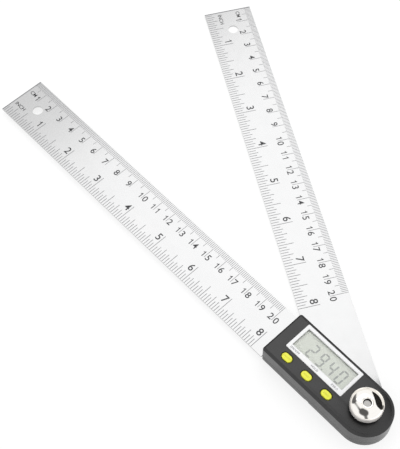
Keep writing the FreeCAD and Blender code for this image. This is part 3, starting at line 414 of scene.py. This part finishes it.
# %% [markdown]
# Most of the tool is three finishes. The rules are stainless sheet with a satin brush along their length.
# The shells are black moulded plastic with a fine spark-eroded grain, which looks charcoal under a broad
# light. The knob is turned and chromed. Pieces inside get the same care with plainer numbers.

# %% Finishes
ARM_TURN = math.radians(ARM_ANGLE)
rule_tones = ((0.555, 0.557, 0.56), (0.575, 0.575, 0.575), (0.20, 0.235))
fixed_steel = finish("fixed_rule_steel", *rule_tones, brushed={"Turn": 0.0}, depth=0.006, Metallic=1.0)
moving_steel = finish("moving_rule_steel", *rule_tones, brushed={"Turn": ARM_TURN}, depth=0.006,
                      Metallic=1.0)
scale_ink = finish("scale_ink", (0.045, 0.045, 0.05), (0.09, 0.09, 0.095), (0.4, 0.55), grain=4000.0)
fine_ink = finish("fine_ink", (0.20, 0.20, 0.21), (0.27, 0.27, 0.28), (0.4, 0.55), grain=4000.0)
shell_black = finish("charcoal_shell", (0.008, 0.008, 0.0085), (0.014, 0.0135, 0.014), (0.24, 0.32),
                     grain=3200.0, depth=0.02, Specular_IOR_Level=0.6)
bezel_white = finish("bezel_white", (0.90, 0.905, 0.91), (0.95, 0.95, 0.955), (0.22, 0.34), grain=1500.0,
                     depth=0.004)
white_moulding = finish("white_moulding", (0.78, 0.78, 0.76), (0.86, 0.86, 0.84), (0.4, 0.5), grain=2500.0,
                        depth=0.01)
crystal_grey = finish("crystal_grey", (0.81, 0.825, 0.75), (0.86, 0.875, 0.80), (0.18, 0.26), grain=900.0)
segment_grey = finish("segment_grey", (0.38, 0.39, 0.37), (0.44, 0.45, 0.43), (0.3, 0.4), grain=3000.0)
key_yellow = finish("key_yellow", (0.85, 0.86, 0.055), (0.90, 0.91, 0.085), (0.34, 0.46), grain=3000.0,
                    depth=0.006)
key_mark = finish("key_mark", (0.55, 0.53, 0.02), (0.62, 0.60, 0.03), (0.4, 0.5), grain=3000.0)
label_grey = finish("label_grey", (0.06, 0.06, 0.08), (0.11, 0.11, 0.14), (0.4, 0.5), grain=3000.0)
chrome = finish("knob_chrome", (0.91, 0.885, 0.845), (0.94, 0.92, 0.885), (0.035, 0.075), turned=900.0,
                depth=0.0005, Metallic=1.0)
chrome_wall = finish("knob_chrome_wall", (0.86, 0.83, 0.80), (0.91, 0.885, 0.86), (0.52, 0.62), turned=3000.0,
                     depth=0.006, Metallic=1.0)
# The bore's dark finish is its bare thread, and it also paints the shade that falls inside the bore.
thread_and_bore_shade = finish("thread_and_bore_shade", (0.02, 0.019, 0.018), (0.05, 0.047, 0.045), (0.35, 0.5),
                     turned=2600.0, depth=0.02, Metallic=0.5)
bolt_steel = finish("bolt_steel", (0.30, 0.295, 0.285), (0.50, 0.49, 0.47), (0.2, 0.34), turned=2200.0,
                    depth=0.01, Metallic=1.0)
bright_steel = finish("bright_steel", (0.52, 0.52, 0.53), (0.62, 0.62, 0.63), (0.24, 0.36),
                      brushed={"Fineness": 90.0}, depth=0.006, Metallic=1.0)
brass = finish("bush_brass", (0.58, 0.40, 0.15), (0.70, 0.51, 0.22), (0.26, 0.38), brushed={"Fineness": 90.0},
               depth=0.006, Metallic=1.0)
board_green = finish("board_green", (0.012, 0.10, 0.035), (0.02, 0.15, 0.055), (0.25, 0.4), grain=1800.0,
                     depth=0.006)
chip_black = finish("chip_black", (0.012, 0.012, 0.013), (0.022, 0.022, 0.024), (0.45, 0.6), grain=4500.0,
                    depth=0.01)
tinned = finish("tinned", (0.58, 0.58, 0.57), (0.70, 0.70, 0.69), (0.3, 0.45), grain=2200.0, depth=0.01,
                Metallic=1.0)
zebra_rubber = finish("contact_rubber", (0.42, 0.24, 0.28), (0.55, 0.36, 0.40), (0.6, 0.75), grain=5000.0,
                      depth=0.01)
copper_track = finish("copper_track", (0.42, 0.17, 0.06), (0.56, 0.26, 0.11), (0.3, 0.45), grain=2200.0,
                      depth=0.008, Metallic=0.8)
slip_film = finish("slip_film", (0.74, 0.74, 0.72), (0.84, 0.84, 0.82), (0.4, 0.5), grain=2500.0, depth=0.004)
print(len(bpy.data.materials), "materials")

# %% [markdown]
# The window over the display is clear acrylic. Real glass bends light and blocks it from lamps sampled
# directly, which would leave the display in the dark, so the shader lets shadow rays through: a mix with a
# transparent shader, driven by the light path, keeps the gloss on top and the light below.

# %% Clear window
clear_window = bpy.data.materials.new("clear_window")
clear_window.use_nodes = True
tree = clear_window.node_tree
shader = tree.nodes["Principled BSDF"]
shader.inputs["Base Color"].default_value = (0.97, 0.985, 0.975, 1)
shader.inputs["Transmission Weight"].default_value = 1.0
shader.inputs["IOR"].default_value = 1.49
handled = place_group(tree, wear_group, Low=0.01, High=0.04)
wire(tree, (handled, 0), (shader, "Roughness"))
through = add_node(tree, "ShaderNodeBsdfTransparent")
both = add_node(tree, "ShaderNodeMixShader")
wire(tree, (add_node(tree, "ShaderNodeLightPath"), "Is Shadow Ray"), (both, 0))
wire(tree, (shader, 0), (both, 1))
wire(tree, (through, 0), (both, 2))
wire(tree, (both, 0), (tree.nodes["Material Output"], "Surface"))
print("window material ready")

# %% Dress the solids
SLOT_FINISH = {
    "rule_steel": fixed_steel, "shell_plastic": shell_black, "bezel_plastic": bezel_white,
    "window": clear_window, "display_glass": crystal_grey, "white_plastic": white_moulding,
    "elastomer": zebra_rubber, "board": board_green, "chip": chip_black, "tin": tinned,
    "key_rubber": key_yellow, "switch_plastic": chip_black, "brass": brass, "bright_steel": bright_steel,
    "knob_chrome": chrome, "slip_plastic": slip_film, "copper_disc": copper_track,
}
for row in frame["record"]["subparts"]:
    solid = frame["nodes"][row["node"]]
    solid.material_slots[0].material = SLOT_FINISH[row["material_slot"]]
frame["nodes"]["moving_rule"].material_slots[0].material = moving_steel
frame["nodes"]["pivot_bolt"].material_slots[0].material = bolt_steel

# %% [markdown]
# Most built pieces here are loops of points joined side by side: a shell is its outline at several
# heights, a key cap is a pill shape drawn in as it rises, a knob is one section turned about an axis. So
# a few helpers that join loops and close them with flat faces, holes included, make almost everything.

# %% Loop helpers
class Skin:
    """Points and faces gathered loop by loop, in millimetres."""

    def __init__(self):
        self.points = []
        self.faces = []

    def loop(self, points):
        """Add a loop of points and give back their numbers."""
        first = len(self.points)
        self.points.extend(points)
        return list(range(first, len(self.points)))

    def join(self, one, other):
        """Four-sided faces between two loops of equal count."""
        count = len(one)
        for step in range(count):
            after = (step + 1) % count
            self.faces.append((one[step], one[after], other[after], other[step]))

    def stack(self, loops, closed=False):
        """Join loops one after another, and the last to the first if closed."""
        numbered = [self.loop(points) for points in loops]
        for one, other in zip(numbered, numbered[1:] + (numbered[:1] if closed else [])):
            self.join(one, other)
        return numbered

    def cover(self, outer, holes=()):
        """A flat face with holes, cut into triangles."""
        rings = [outer, *holes]
        numbers = [number for ring in rings for number in ring]
        triangles = tessellate_polygon([[Vector(self.points[number]) for number in ring] for ring in rings])
        self.faces.extend(tuple(numbers[corner] for corner in triangle) for triangle in triangles)

    def build(self, name, body, material, smooth):
        """The finished object, in metres, on its body. Edges sharper than smooth, in degrees, stay sharp."""
        mesh = bpy.data.meshes.new(name)
        mesh.from_pydata([[value * MM for value in point] for point in self.points], [], self.faces)
        work = bmesh.new()
        work.from_mesh(mesh)
        bmesh.ops.recalc_face_normals(work, faces=work.faces)
        work.to_mesh(mesh)
        work.free()
        mesh.shade_smooth()
        mesh.set_sharp_from_angle(angle=math.radians(smooth))
        mesh.materials.append(material)
        piece = bpy.data.objects.new(name, mesh)
        scene.collection.objects.link(piece)
        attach(piece, body)
        return piece


def arc(centre, radius, begin, finish_at, steps):
    """Points along an arc in the plan, angles in degrees."""
    angles = [math.radians(begin + (finish_at - begin) * step / steps) for step in range(steps + 1)]
    return [(centre[0] + radius * math.cos(angle), centre[1] + radius * math.sin(angle)) for angle in angles]


def raised(plan, height):
    """A loop in the plan, lifted to a height."""
    return [(x, y, height) for x, y in plan]


def rounded_box(low, high, radius, steps=6):
    """A rectangle with round corners, anticlockwise."""
    (x0, y0), (x1, y1) = low, high
    return (arc((x1 - radius, y0 + radius), radius, -90, 0, steps)
            + arc((x1 - radius, y1 - radius), radius, 0, 90, steps)
            + arc((x0 + radius, y1 - radius), radius, 90, 180, steps)
            + arc((x0 + radius, y0 + radius), radius, 180, 270, steps))


PILL_STEPS = 16


def grown(box, amount):
    """The low and high corner of a rectangle, moved out by an amount."""
    return (box[0][0] - amount, box[0][1] - amount), (box[1][0] + amount, box[1][1] + amount)


def pill(centre, length, width, outset):
    """A bar with half round ends, long along X, and grown all round by an outset."""
    run = (length - width) / 2
    radius = width / 2 + outset
    return (arc((centre[0] + run, centre[1]), radius, -90, 90, PILL_STEPS)
            + arc((centre[0] - run, centre[1]), radius, 90, 270, PILL_STEPS))


def circle(centre, radius, steps=64):
    """A closed circle, without its first point twice."""
    return arc(centre, radius, 0, 360 - 360 / steps, steps - 1)


print("loop helpers ready")

# %% [markdown]
# The upper shell is one moulding: a roof with openings for the display, the keys and the bolt, and walls
# that follow a round end and two small corners. Cutting the openings with Boolean modifiers is quick but
# leaves ragged edges. Drawing each outline as a loop and stepping it inwards keeps every edge rounded,
# and the roof closes between the loops in one cover call.

# %% Upper shell
WALL = 1.4
KEY_PLACES = {}
for key in ("power", "hold", "zero"):
    low, high = box_mm(f"{key}_button")
    KEY_PLACES[key] = ((low[0] + high[0]) / 2, (low[1] + high[1]) / 2)
KEY_LENGTH, KEY_WIDTH, KEY_GAP = 5.8, 3.7, 0.35
HEAD_CORNER, LEAST_CORNER = 1.2, 0.2
# The play round the bezel and the pane, and the broken edge of the bezel's seat.
SEAT_GAP, SEAT_BREAK = 0.1, 0.1
BOLT_HOLE = 2.1


def head_plan(inset, end_inset=None):
    """The head's outline, drawn in by an inset at its sides and another at its straight end."""
    half, reach = HEAD_HALF - inset, HEAD_REACH - (inset if end_inset is None else end_inset)
    corner = max(HEAD_CORNER - inset, LEAST_CORNER)
    return (arc((reach - corner, corner - half), corner, -90, 0, 6)
            + arc((reach - corner, half - corner), corner, 0, 90, 6)
            + arc((0, 0), half, 90, 270, 64))


shell = Skin()
# Each step is the inset at the sides, the inset at the straight end, and the height.
outer_steps = [(0.16, 0.16, SEAM), (0.0, 0.0, SEAM + 0.16), (0.0, 0.0, HEAD_TOP - 0.86),
               (0.03, 0.0, HEAD_TOP - 0.8), (0.1, 0.0, HEAD_TOP - 0.76), (0.54, 0.04, HEAD_TOP - 0.51),
               (1.36, 0.8, HEAD_TOP - 0.05), (1.42, 0.86, HEAD_TOP - 0.02), (1.5, 0.95, HEAD_TOP)]
outside = shell.stack([raised(head_plan(inset, end_inset), height)
                       for inset, end_inset, height in outer_steps])
inside = shell.stack([raised(head_plan(WALL), SEAM), raised(head_plan(WALL), ROOF_UNDER)])
shell.join(outside[0], inside[0])

roof_holes, ceiling_holes = [], []
seat = grown((BEZEL_LOW, BEZEL_HIGH), SEAT_GAP)
pane = grown((PANE_LOW, PANE_HIGH), SEAT_GAP)
well = shell.stack([
    raised(rounded_box(*grown(seat, SEAT_BREAK), 0.4), HEAD_TOP),
    raised(rounded_box(*seat, 0.3), HEAD_TOP - SEAT_BREAK),
    raised(rounded_box(*seat, 0.3), WINDOW_TOP),
    raised(rounded_box(*pane, 0.3), WINDOW_TOP),
    raised(rounded_box(*pane, 0.3), ROOF_UNDER)])
roof_holes.append(well[0])
ceiling_holes.append(well[-1])
for centre in KEY_PLACES.values():
    steps = [(KEY_GAP + 0.22, HEAD_TOP), (KEY_GAP + 0.06, HEAD_TOP - 0.07), (KEY_GAP, HEAD_TOP - 0.22),
             (KEY_GAP, ROOF_UNDER)]
    well = shell.stack([raised(pill(centre, KEY_LENGTH, KEY_WIDTH, outset), height)
                        for outset, height in steps])
    roof_holes.append(well[0])
    ceiling_holes.append(well[-1])
bolt_well = shell.stack([raised(circle((0, 0), BOLT_HOLE), height) for height in (HEAD_TOP, ROOF_UNDER)])
roof_holes.append(bolt_well[0])
ceiling_holes.append(bolt_well[-1])
shell.cover(outside[-1], roof_holes)
shell.cover(inside[-1], ceiling_holes)
upper_shell = shell.build("upper_shell", "head", shell_black, smooth=22.0)
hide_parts("top_housing")
print("upper shell", len(upper_shell.data.vertices), "points")

# %% [markdown]
# The display's bezel is a thin white frame, wider along the keys where their names are printed. Its inner
# and outer loops have the same number of points, so one closed ring of loops, out, over and back under,
# makes the whole frame with every edge softened.

# %% Bezel
BORDER, FOOT_BORDER = 1.8, 2.9
BEZEL_TOP = BEZEL_HIGH[2]
outer = (tuple(BEZEL_LOW[:2]), tuple(BEZEL_HIGH[:2]))
opening = ((BEZEL_LOW[0] + BORDER, BEZEL_LOW[1] + BORDER),
           (BEZEL_HIGH[0] - BORDER, BEZEL_HIGH[1] - FOOT_BORDER))
# Each step is a rectangle, how far it is moved out, its corner radius and its height.
bezel_steps = [(outer, 0.0, 0.5, WINDOW_TOP), (outer, 0.0, 0.5, BEZEL_TOP - 0.2),
               (outer, -0.06, 0.45, BEZEL_TOP - 0.06), (outer, -0.2, 0.4, BEZEL_TOP),
               (opening, 0.3, 0.5, BEZEL_TOP), (opening, 0.1, 0.4, BEZEL_TOP - 0.06),
               (opening, 0.0, 0.3, BEZEL_TOP - 0.3), (opening, 0.0, 0.3, WINDOW_TOP)]
bezel = Skin()
bezel.stack([raised(rounded_box(*grown(box, amount), radius), height)
             for box, amount, radius, height in bezel_steps], closed=True)
display_frame = bezel.build("display_frame", "head", bezel_white, smooth=22.0)
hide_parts("display_bezel")
print("bezel", outer, "opening", opening)

# %% [markdown]
# The keys are soft yellow caps with a rounded crown, a flange that keeps them in and a stem that meets
# the switch. One pill outline, drawn in as it rises, gives the crown its roll-off, and the same loops go
# down to the flange and the stem, so each cap is one closed skin.

# %% Key caps
KEY_TOP = box_mm("hold_button")[1][2]
STEM_FOOT = box_mm("hold_button")[0][2]
FLANGE_LOW, FLANGE_TOP, FLANGE_OUTSET = 10.5, 11.3, 0.75
STEM_RADIUS = 1.1
PILL_POINTS = 2 * (PILL_STEPS + 1)
PILL_START = math.ceil(PILL_POINTS * 3 / 4)


def key_cap(key):
    """One cap from stem to crown. The stem's circle begins where a pill does, so no face is twisted."""
    centre = KEY_PLACES[key]
    cap = Skin()
    # Each step is how far the pill is moved out, and the height.
    crown = [(FLANGE_OUTSET, FLANGE_LOW), (FLANGE_OUTSET, FLANGE_TOP), (0.0, FLANGE_TOP),
             (0.0, KEY_TOP - 0.55), (-0.03, KEY_TOP - 0.38), (-0.12, KEY_TOP - 0.22),
             (-0.28, KEY_TOP - 0.1), (-0.5, KEY_TOP - 0.04), (-0.85, KEY_TOP)]
    stem = circle(centre, STEM_RADIUS, PILL_POINTS)
    stem = stem[PILL_START:] + stem[:PILL_START]
    loops = [raised(stem, STEM_FOOT), raised(stem, FLANGE_LOW)]
    loops += [raised(pill(centre, KEY_LENGTH, KEY_WIDTH, outset), height) for outset, height in crown]
    numbered = cap.stack(loops)
    cap.cover(numbered[0])
    cap.cover(numbered[-1])
    piece = cap.build(f"{key}_cap", f"{key}_key", key_yellow, smooth=40.0)
    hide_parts(f"{key}_button")
    return piece


for key in KEY_PLACES:
    print(key_cap(key).name, [round(value, 2) for value in KEY_PLACES[key]])

# %% [markdown]
# The lock knob is a turned screw cap: a neck, a drum with a satin wall and a raised rim, and inside the rim
# a polished dome that rises to a low bored boss with the bolt's end in it. A lathe turns one half
# section, and so does this: the section's corners are given once and the dome is stepped finely.

# %% Lock knob
KNOB_FOOT = box_mm("lock_knob")[0][2]
KNOB_TOP = box_mm("lock_knob")[1][2]
KNOB_RADIUS = box_mm("lock_knob")[1][0]
NECK_RADIUS, NECK_HEIGHT = 4.5, 2.0
UNDER = KNOB_FOOT + NECK_HEIGHT
RIM_TOP = KNOB_TOP - 0.9
# The dome is part of a ball whose centre is on the pivot axis.
DOME_CENTRE = RIM_TOP - 15.5
DOME_RADIUS, DOME_FOOT, DOME_STEPS = 16.5, 7.75, 14
BOSS_RADIUS, BORE = 2.85, 2.05


def turned_skin(section, steps=128):
    """A skin turned about the pivot axis from a closed section of (radius, height)."""
    skin = Skin()
    skin.stack([raised(circle((0, 0), radius, steps), height) for radius, height in section], closed=True)
    return skin


def dome_height(radius):
    """How high the polished dome is at a radius."""
    return DOME_CENTRE + math.sqrt(DOME_RADIUS ** 2 - radius ** 2)


dome = [(radius, dome_height(radius)) for radius in
        (DOME_FOOT + (BOSS_RADIUS - DOME_FOOT) * step / DOME_STEPS for step in range(DOME_STEPS + 1))]
knob_section = [
    (BORE, KNOB_FOOT), (NECK_RADIUS, KNOB_FOOT), (NECK_RADIUS, UNDER), (KNOB_RADIUS - 0.5, UNDER),
    (KNOB_RADIUS - 0.12, UNDER + 0.2), (KNOB_RADIUS, UNDER + 0.6), (KNOB_RADIUS, RIM_TOP - 0.9),
    (KNOB_RADIUS - 0.02, RIM_TOP - 0.12), (KNOB_RADIUS - 0.07, RIM_TOP - 0.03), (KNOB_RADIUS - 0.14, RIM_TOP),
    (KNOB_RADIUS - 0.22, RIM_TOP - 0.04), (DOME_FOOT + 0.06, dome_height(DOME_FOOT) + 0.03), *dome,
    (BOSS_RADIUS - 0.05, KNOB_TOP - 0.36), (BOSS_RADIUS - 0.14, KNOB_TOP - 0.1),
    (BOSS_RADIUS - 0.3, KNOB_TOP), (BORE + 0.15, KNOB_TOP), (BORE + 0.03, KNOB_TOP - 0.05),
    (BORE, KNOB_TOP - 0.15)]
knob = turned_skin(knob_section).build("polished_knob", "knob", chrome, smooth=32.0)
knob.data.materials.append(chrome_wall)
knob.data.materials.append(thread_and_bore_shade)
# The wall with its rim has the second material and the bore the third: a dark thread colour that also paints
# the shade inside the bore.
for face in knob.data.polygons:
    middle = face.center / MM
    spread = math.hypot(middle.x, middle.y)
    if spread > KNOB_RADIUS - 0.2:
        face.material_index = 1
    elif spread < BORE + 0.01:
        face.material_index = 2
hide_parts("lock_knob")
print("knob", len(knob_section), "section points")

# %% [markdown]
# The scales are the reason for the tool: centimetres with millimetre marks along one edge, inches in
# sixteenths along the other, read from the far end. They could be painted with a striped texture, but
# real marks stay crisp in every view, so each mark and numeral is a film of ink a hundredth of a
# millimetre thick, all in one mesh for each rule.

# %% Ink helpers
INK = 0.015
CAP_HEIGHT = 0.682
ONE = [(0.30, 0.0), (0.30, CAP_HEIGHT), (0.215, CAP_HEIGHT), (0.19, 0.60), (0.06, 0.535), (0.06, 0.455),
       (0.205, 0.50), (0.205, 0.0)]
BOLDNESS = 0.012
GLYPHS = {}


def glyph(letter):
    """The flat faces of one letter, one unit to the em: a list of points and a list of faces. A plain
    figure one in the built-in font has no flag, so it is drawn here."""
    if letter == "1":
        return ONE, [tuple(range(len(ONE)))]
    curve = bpy.data.curves.new("letter", "FONT")
    curve.body = letter
    curve.resolution_u = 4
    curve.offset = BOLDNESS
    holder = bpy.data.objects.new("letter", curve)
    scene.collection.objects.link(holder)
    graph = bpy.context.evaluated_depsgraph_get()
    mesh = bpy.data.meshes.new_from_object(holder.evaluated_get(graph))
    points = [(vertex.co.x, vertex.co.y) for vertex in mesh.vertices]
    faces = [tuple(face.vertices) for face in mesh.polygons]
    bpy.data.objects.remove(holder)
    bpy.data.curves.remove(curve)
    bpy.data.meshes.remove(mesh)
    return points, faces


class Ink:
    """Flat ink shapes gathered in a rule's or face's own plan, in millimetres."""

    def __init__(self):
        self.points = []
        self.faces = []

    def shape(self, points, faces):
        """Add points and the faces between them."""
        first = len(self.points)
        self.points.extend(points)
        self.faces.extend(tuple(corner + first for corner in face) for face in faces)

    def bar(self, x0, y0, x1, y1):
        """Add a rectangle."""
        self.shape([(x0, y0), (x1, y0), (x1, y1), (x0, y1)], [(0, 1, 2, 3)])

    def word(self, text, middle, base, height, gap=0.1):
        """Letters that read towards -X with their tops towards -Y, centred on a place along X."""
        scale = height / CAP_HEIGHT
        run = 0.0
        laid = []
        for letter in text:
            if letter not in GLYPHS:
                GLYPHS[letter] = glyph(letter)
            points, faces = GLYPHS[letter]
            left = min(x for x, y in points)
            laid.append(([((x - left) * scale + run, y * scale) for x, y in points], faces))
            run += (max(x for x, y in points) - left + gap) * scale
        run -= gap * scale
        for points, faces in laid:
            self.shape([(middle + run / 2 - x, base - y) for x, y in points], faces)

    def build(self, name, body, material, height, turn=0.0):
        """The ink as a thin solid at a height, turned about the pivot with its rule."""
        mesh = bpy.data.meshes.new(name)
        mesh.from_pydata([(x * MM, y * MM, height * MM) for x, y in self.points], [], self.faces)
        work = bmesh.new()
        work.from_mesh(mesh)
        bmesh.ops.recalc_face_normals(work, faces=work.faces)
        risen = bmesh.ops.extrude_face_region(work, geom=work.faces[:])
        lifted = [item for item in risen["geom"] if isinstance(item, bmesh.types.BMVert)]
        bmesh.ops.translate(work, verts=lifted, vec=(0, 0, INK * MM))
        bmesh.ops.rotate(work, verts=work.verts, matrix=Matrix.Rotation(turn, 3, "Z"))
        bmesh.ops.recalc_face_normals(work, faces=work.faces)
        work.to_mesh(mesh)
        work.free()
        mesh.materials.append(material)
        piece = bpy.data.objects.new(name, mesh)
        scene.collection.objects.link(piece)
        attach(piece, body)
        return piece


print("ink", INK, "mm thick")

# %% Scale marks
CM_COUNT, INCH_COUNT, INCH = 20, 8, 25.4
EDGE_CLEAR = 0.05
# A mark has the length of the first step that its number divides by.
MM_TICKS = ((10, 10.3), (5, 6.1), (1, 3.7))
INCH_TICKS = ((16, 11.6), (8, 8.5), (4, 6.6), (2, 5.4), (1, 4.3))
MM_TICK_HALF, INCH_TICK_HALF = 0.13, 0.16
END_LINE = (0.62, 0.03)
# Heights of the numerals and unit names, then how far a numeral's middle is from its mark along X, and the
# line across the rule that it stands on. Both figures of a two-figure number have their own.
CM_FIGURE, INCH_FIGURE, UNIT_NAME = 3.55, 4.15, 2.2
CM_SHIFT, CM_BASE = 1.65, -3.4
TENS_SHIFT, UNITS_SHIFT, UNITS_BASE = 1.8, -1.95, -3.3
INCH_SHIFT, INCH_BASE = 2.35, 7.1
CM_NAME_PLACE, INCH_NAME_PLACE = (262.2, -4.6), (260.6, 6.4)


def tick_length(tick, lengths):
    """The length of a mark from its number."""
    return next(length for step, length in lengths if tick % step == 0)


def scale_marks(name, body, height, turn):
    """Tick marks of both scales on one rule."""
    ticks = Ink()
    for tick in range(1, CM_COUNT * 10 + 1):
        x = RULE_REACH - tick
        ticks.bar(x - MM_TICK_HALF, EDGE_CLEAR - RULE_HALF, x + MM_TICK_HALF,
                  tick_length(tick, MM_TICKS) - RULE_HALF)
    for tick in range(1, INCH_COUNT * 16 + 1):
        x = RULE_REACH - tick * INCH / 16
        ticks.bar(x - INCH_TICK_HALF, RULE_HALF - tick_length(tick, INCH_TICKS), x + INCH_TICK_HALF,
                  RULE_HALF - EDGE_CLEAR)
    ticks.bar(RULE_REACH - END_LINE[0], EDGE_CLEAR - RULE_HALF, RULE_REACH - END_LINE[1],
              RULE_HALF - EDGE_CLEAR)
    return ticks.build(name, body, fine_ink, height, turn)


def scale_numbers(name, body, height, turn):
    """Numerals and unit names of both scales on one rule."""
    numbers = Ink()
    for centimetre in range(1, CM_COUNT + 1):
        x = RULE_REACH - centimetre * 10
        digits = str(centimetre)
        if len(digits) == 1:
            numbers.word(digits, x + CM_SHIFT, CM_BASE, CM_FIGURE)
        else:
            numbers.word(digits[0], x + TENS_SHIFT, CM_BASE, CM_FIGURE)
            numbers.word(digits[1], x + UNITS_SHIFT, UNITS_BASE, CM_FIGURE)
    for inch in range(1, INCH_COUNT + 1):
        numbers.word(str(inch), RULE_REACH - inch * INCH + INCH_SHIFT, INCH_BASE, INCH_FIGURE)
    numbers.word("CM", *CM_NAME_PLACE, UNIT_NAME)
    numbers.word("INCH", *INCH_NAME_PLACE, UNIT_NAME)
    return numbers.build(name, body, scale_ink, height, turn)


for rule, body, height, turn in (("fixed", "head", RULE_TOP, 0.0), ("moving", "arm", ARM_TOP, -ARM_TURN)):
    marks = scale_marks(f"{rule}_rule_marks", body, height, turn)
    numerals = scale_numbers(f"{rule}_rule_numerals", body, height, turn)
    print(marks.name, len(marks.data.polygons), "faces;", numerals.name, len(numerals.data.polygons))

# %% [markdown]
# The display shows an angle in seven-segment figures. Each segment is a bar with pointed ends, so a
# figure is a choice from the same seven bars. They lie on the crystal panel, under the window, and lean a
# little as such figures do.

# %% Display figures
FIGURE_WIDTH, FIGURE_HEIGHT, STROKE, LEAN = 3.9, 8.3, 0.90, 0.06
FIGURE_BASE = 0.55
# Half the gap between two segments, measured along them.
SLIT = 0.12
SEGMENTS = {"0": "abcdef", "2": "abged", "4": "fgbc", "9": "abcdfg"}
# The two ends of each segment, as shares of the figure's width and height.
SEGMENT_ENDS = {
    "a": ((0, 1), (1, 1)), "g": ((0, 0.5), (1, 0.5)), "d": ((0, 0), (1, 0)), "f": ((0, 0.5), (0, 1)),
    "b": ((1, 0.5), (1, 1)), "e": ((0, 0), (0, 0.5)), "c": ((1, 0), (1, 0.5)),
}
# The figures in reading order and where along X each begins, and the decimal point's two sides.
READING = (("2", 40.2), ("9", 33.7), ("4", 27.5), ("0", 21.3))
POINT_SPAN, POINT_HEIGHT = (28.1, 28.85), 0.75


def draw_figure(ink, figure, left):
    """One figure, its left side at a place along X, reading towards -X."""
    half = STROKE / 2
    width, height = FIGURE_WIDTH - STROKE, FIGURE_HEIGHT - STROKE
    for name in SEGMENTS[figure]:
        (u0, v0), (u1, v1) = SEGMENT_ENDS[name]
        start_point = Vector((u0 * width, v0 * height))
        stop_point = Vector((u1 * width, v1 * height))
        ahead = (stop_point - start_point).normalized()
        aside = Vector((-ahead.y, ahead.x)) * half
        start_point += ahead * SLIT
        stop_point -= ahead * SLIT
        corners = [start_point, start_point + ahead * half + aside, stop_point - ahead * half + aside,
                   stop_point, stop_point - ahead * half - aside, start_point + ahead * half - aside]
        ink.shape([(left - half - u - v * LEAN, FIGURE_BASE - half - v) for u, v in corners],
                  [tuple(range(6))])


figures = Ink()
for figure, left in READING:
    draw_figure(figures, figure, left)
figures.bar(POINT_SPAN[0], FIGURE_BASE - POINT_HEIGHT, POINT_SPAN[1], FIGURE_BASE)
display_figures = figures.build("display_figures", "head", segment_grey, PANEL_TOP)
print("display reads 29.40")

# %% [markdown]
# The names of the keys are printed small on the bezel and again on the caps, in plain words for what each
# key does. They are ink like the scales, on their own faces, so a cap's word goes down with its cap.

# %% Key names
KEY_WORDS = {"power": "ON/OFF", "hold": "HOLD", "zero": "ZERO"}
NAME_BASE, NAME_HEIGHT, NAME_GAP = 3.25, 1.0, 0.16
CAP_WORD_DROP, CAP_WORD_HEIGHT, CAP_WORD_GAP = 0.45, 0.85, 0.12
names = Ink()
for key, word in KEY_WORDS.items():
    x, y = KEY_PLACES[key]
    names.word(word, x, NAME_BASE, NAME_HEIGHT, gap=NAME_GAP)
    cap_word = Ink()
    cap_word.word(word, x, y + CAP_WORD_DROP, CAP_WORD_HEIGHT, gap=CAP_WORD_GAP)
    cap_word.build(f"{key}_word", f"{key}_key", key_mark, KEY_TOP)
key_names = names.build("key_names", "head", label_grey, BEZEL_TOP)
print("words", sorted(KEY_WORDS.values()))

# %% [markdown]
# Last, the scene's view transform is set to Standard.

# %% Finish
scene.view_settings.view_transform = "Standard"
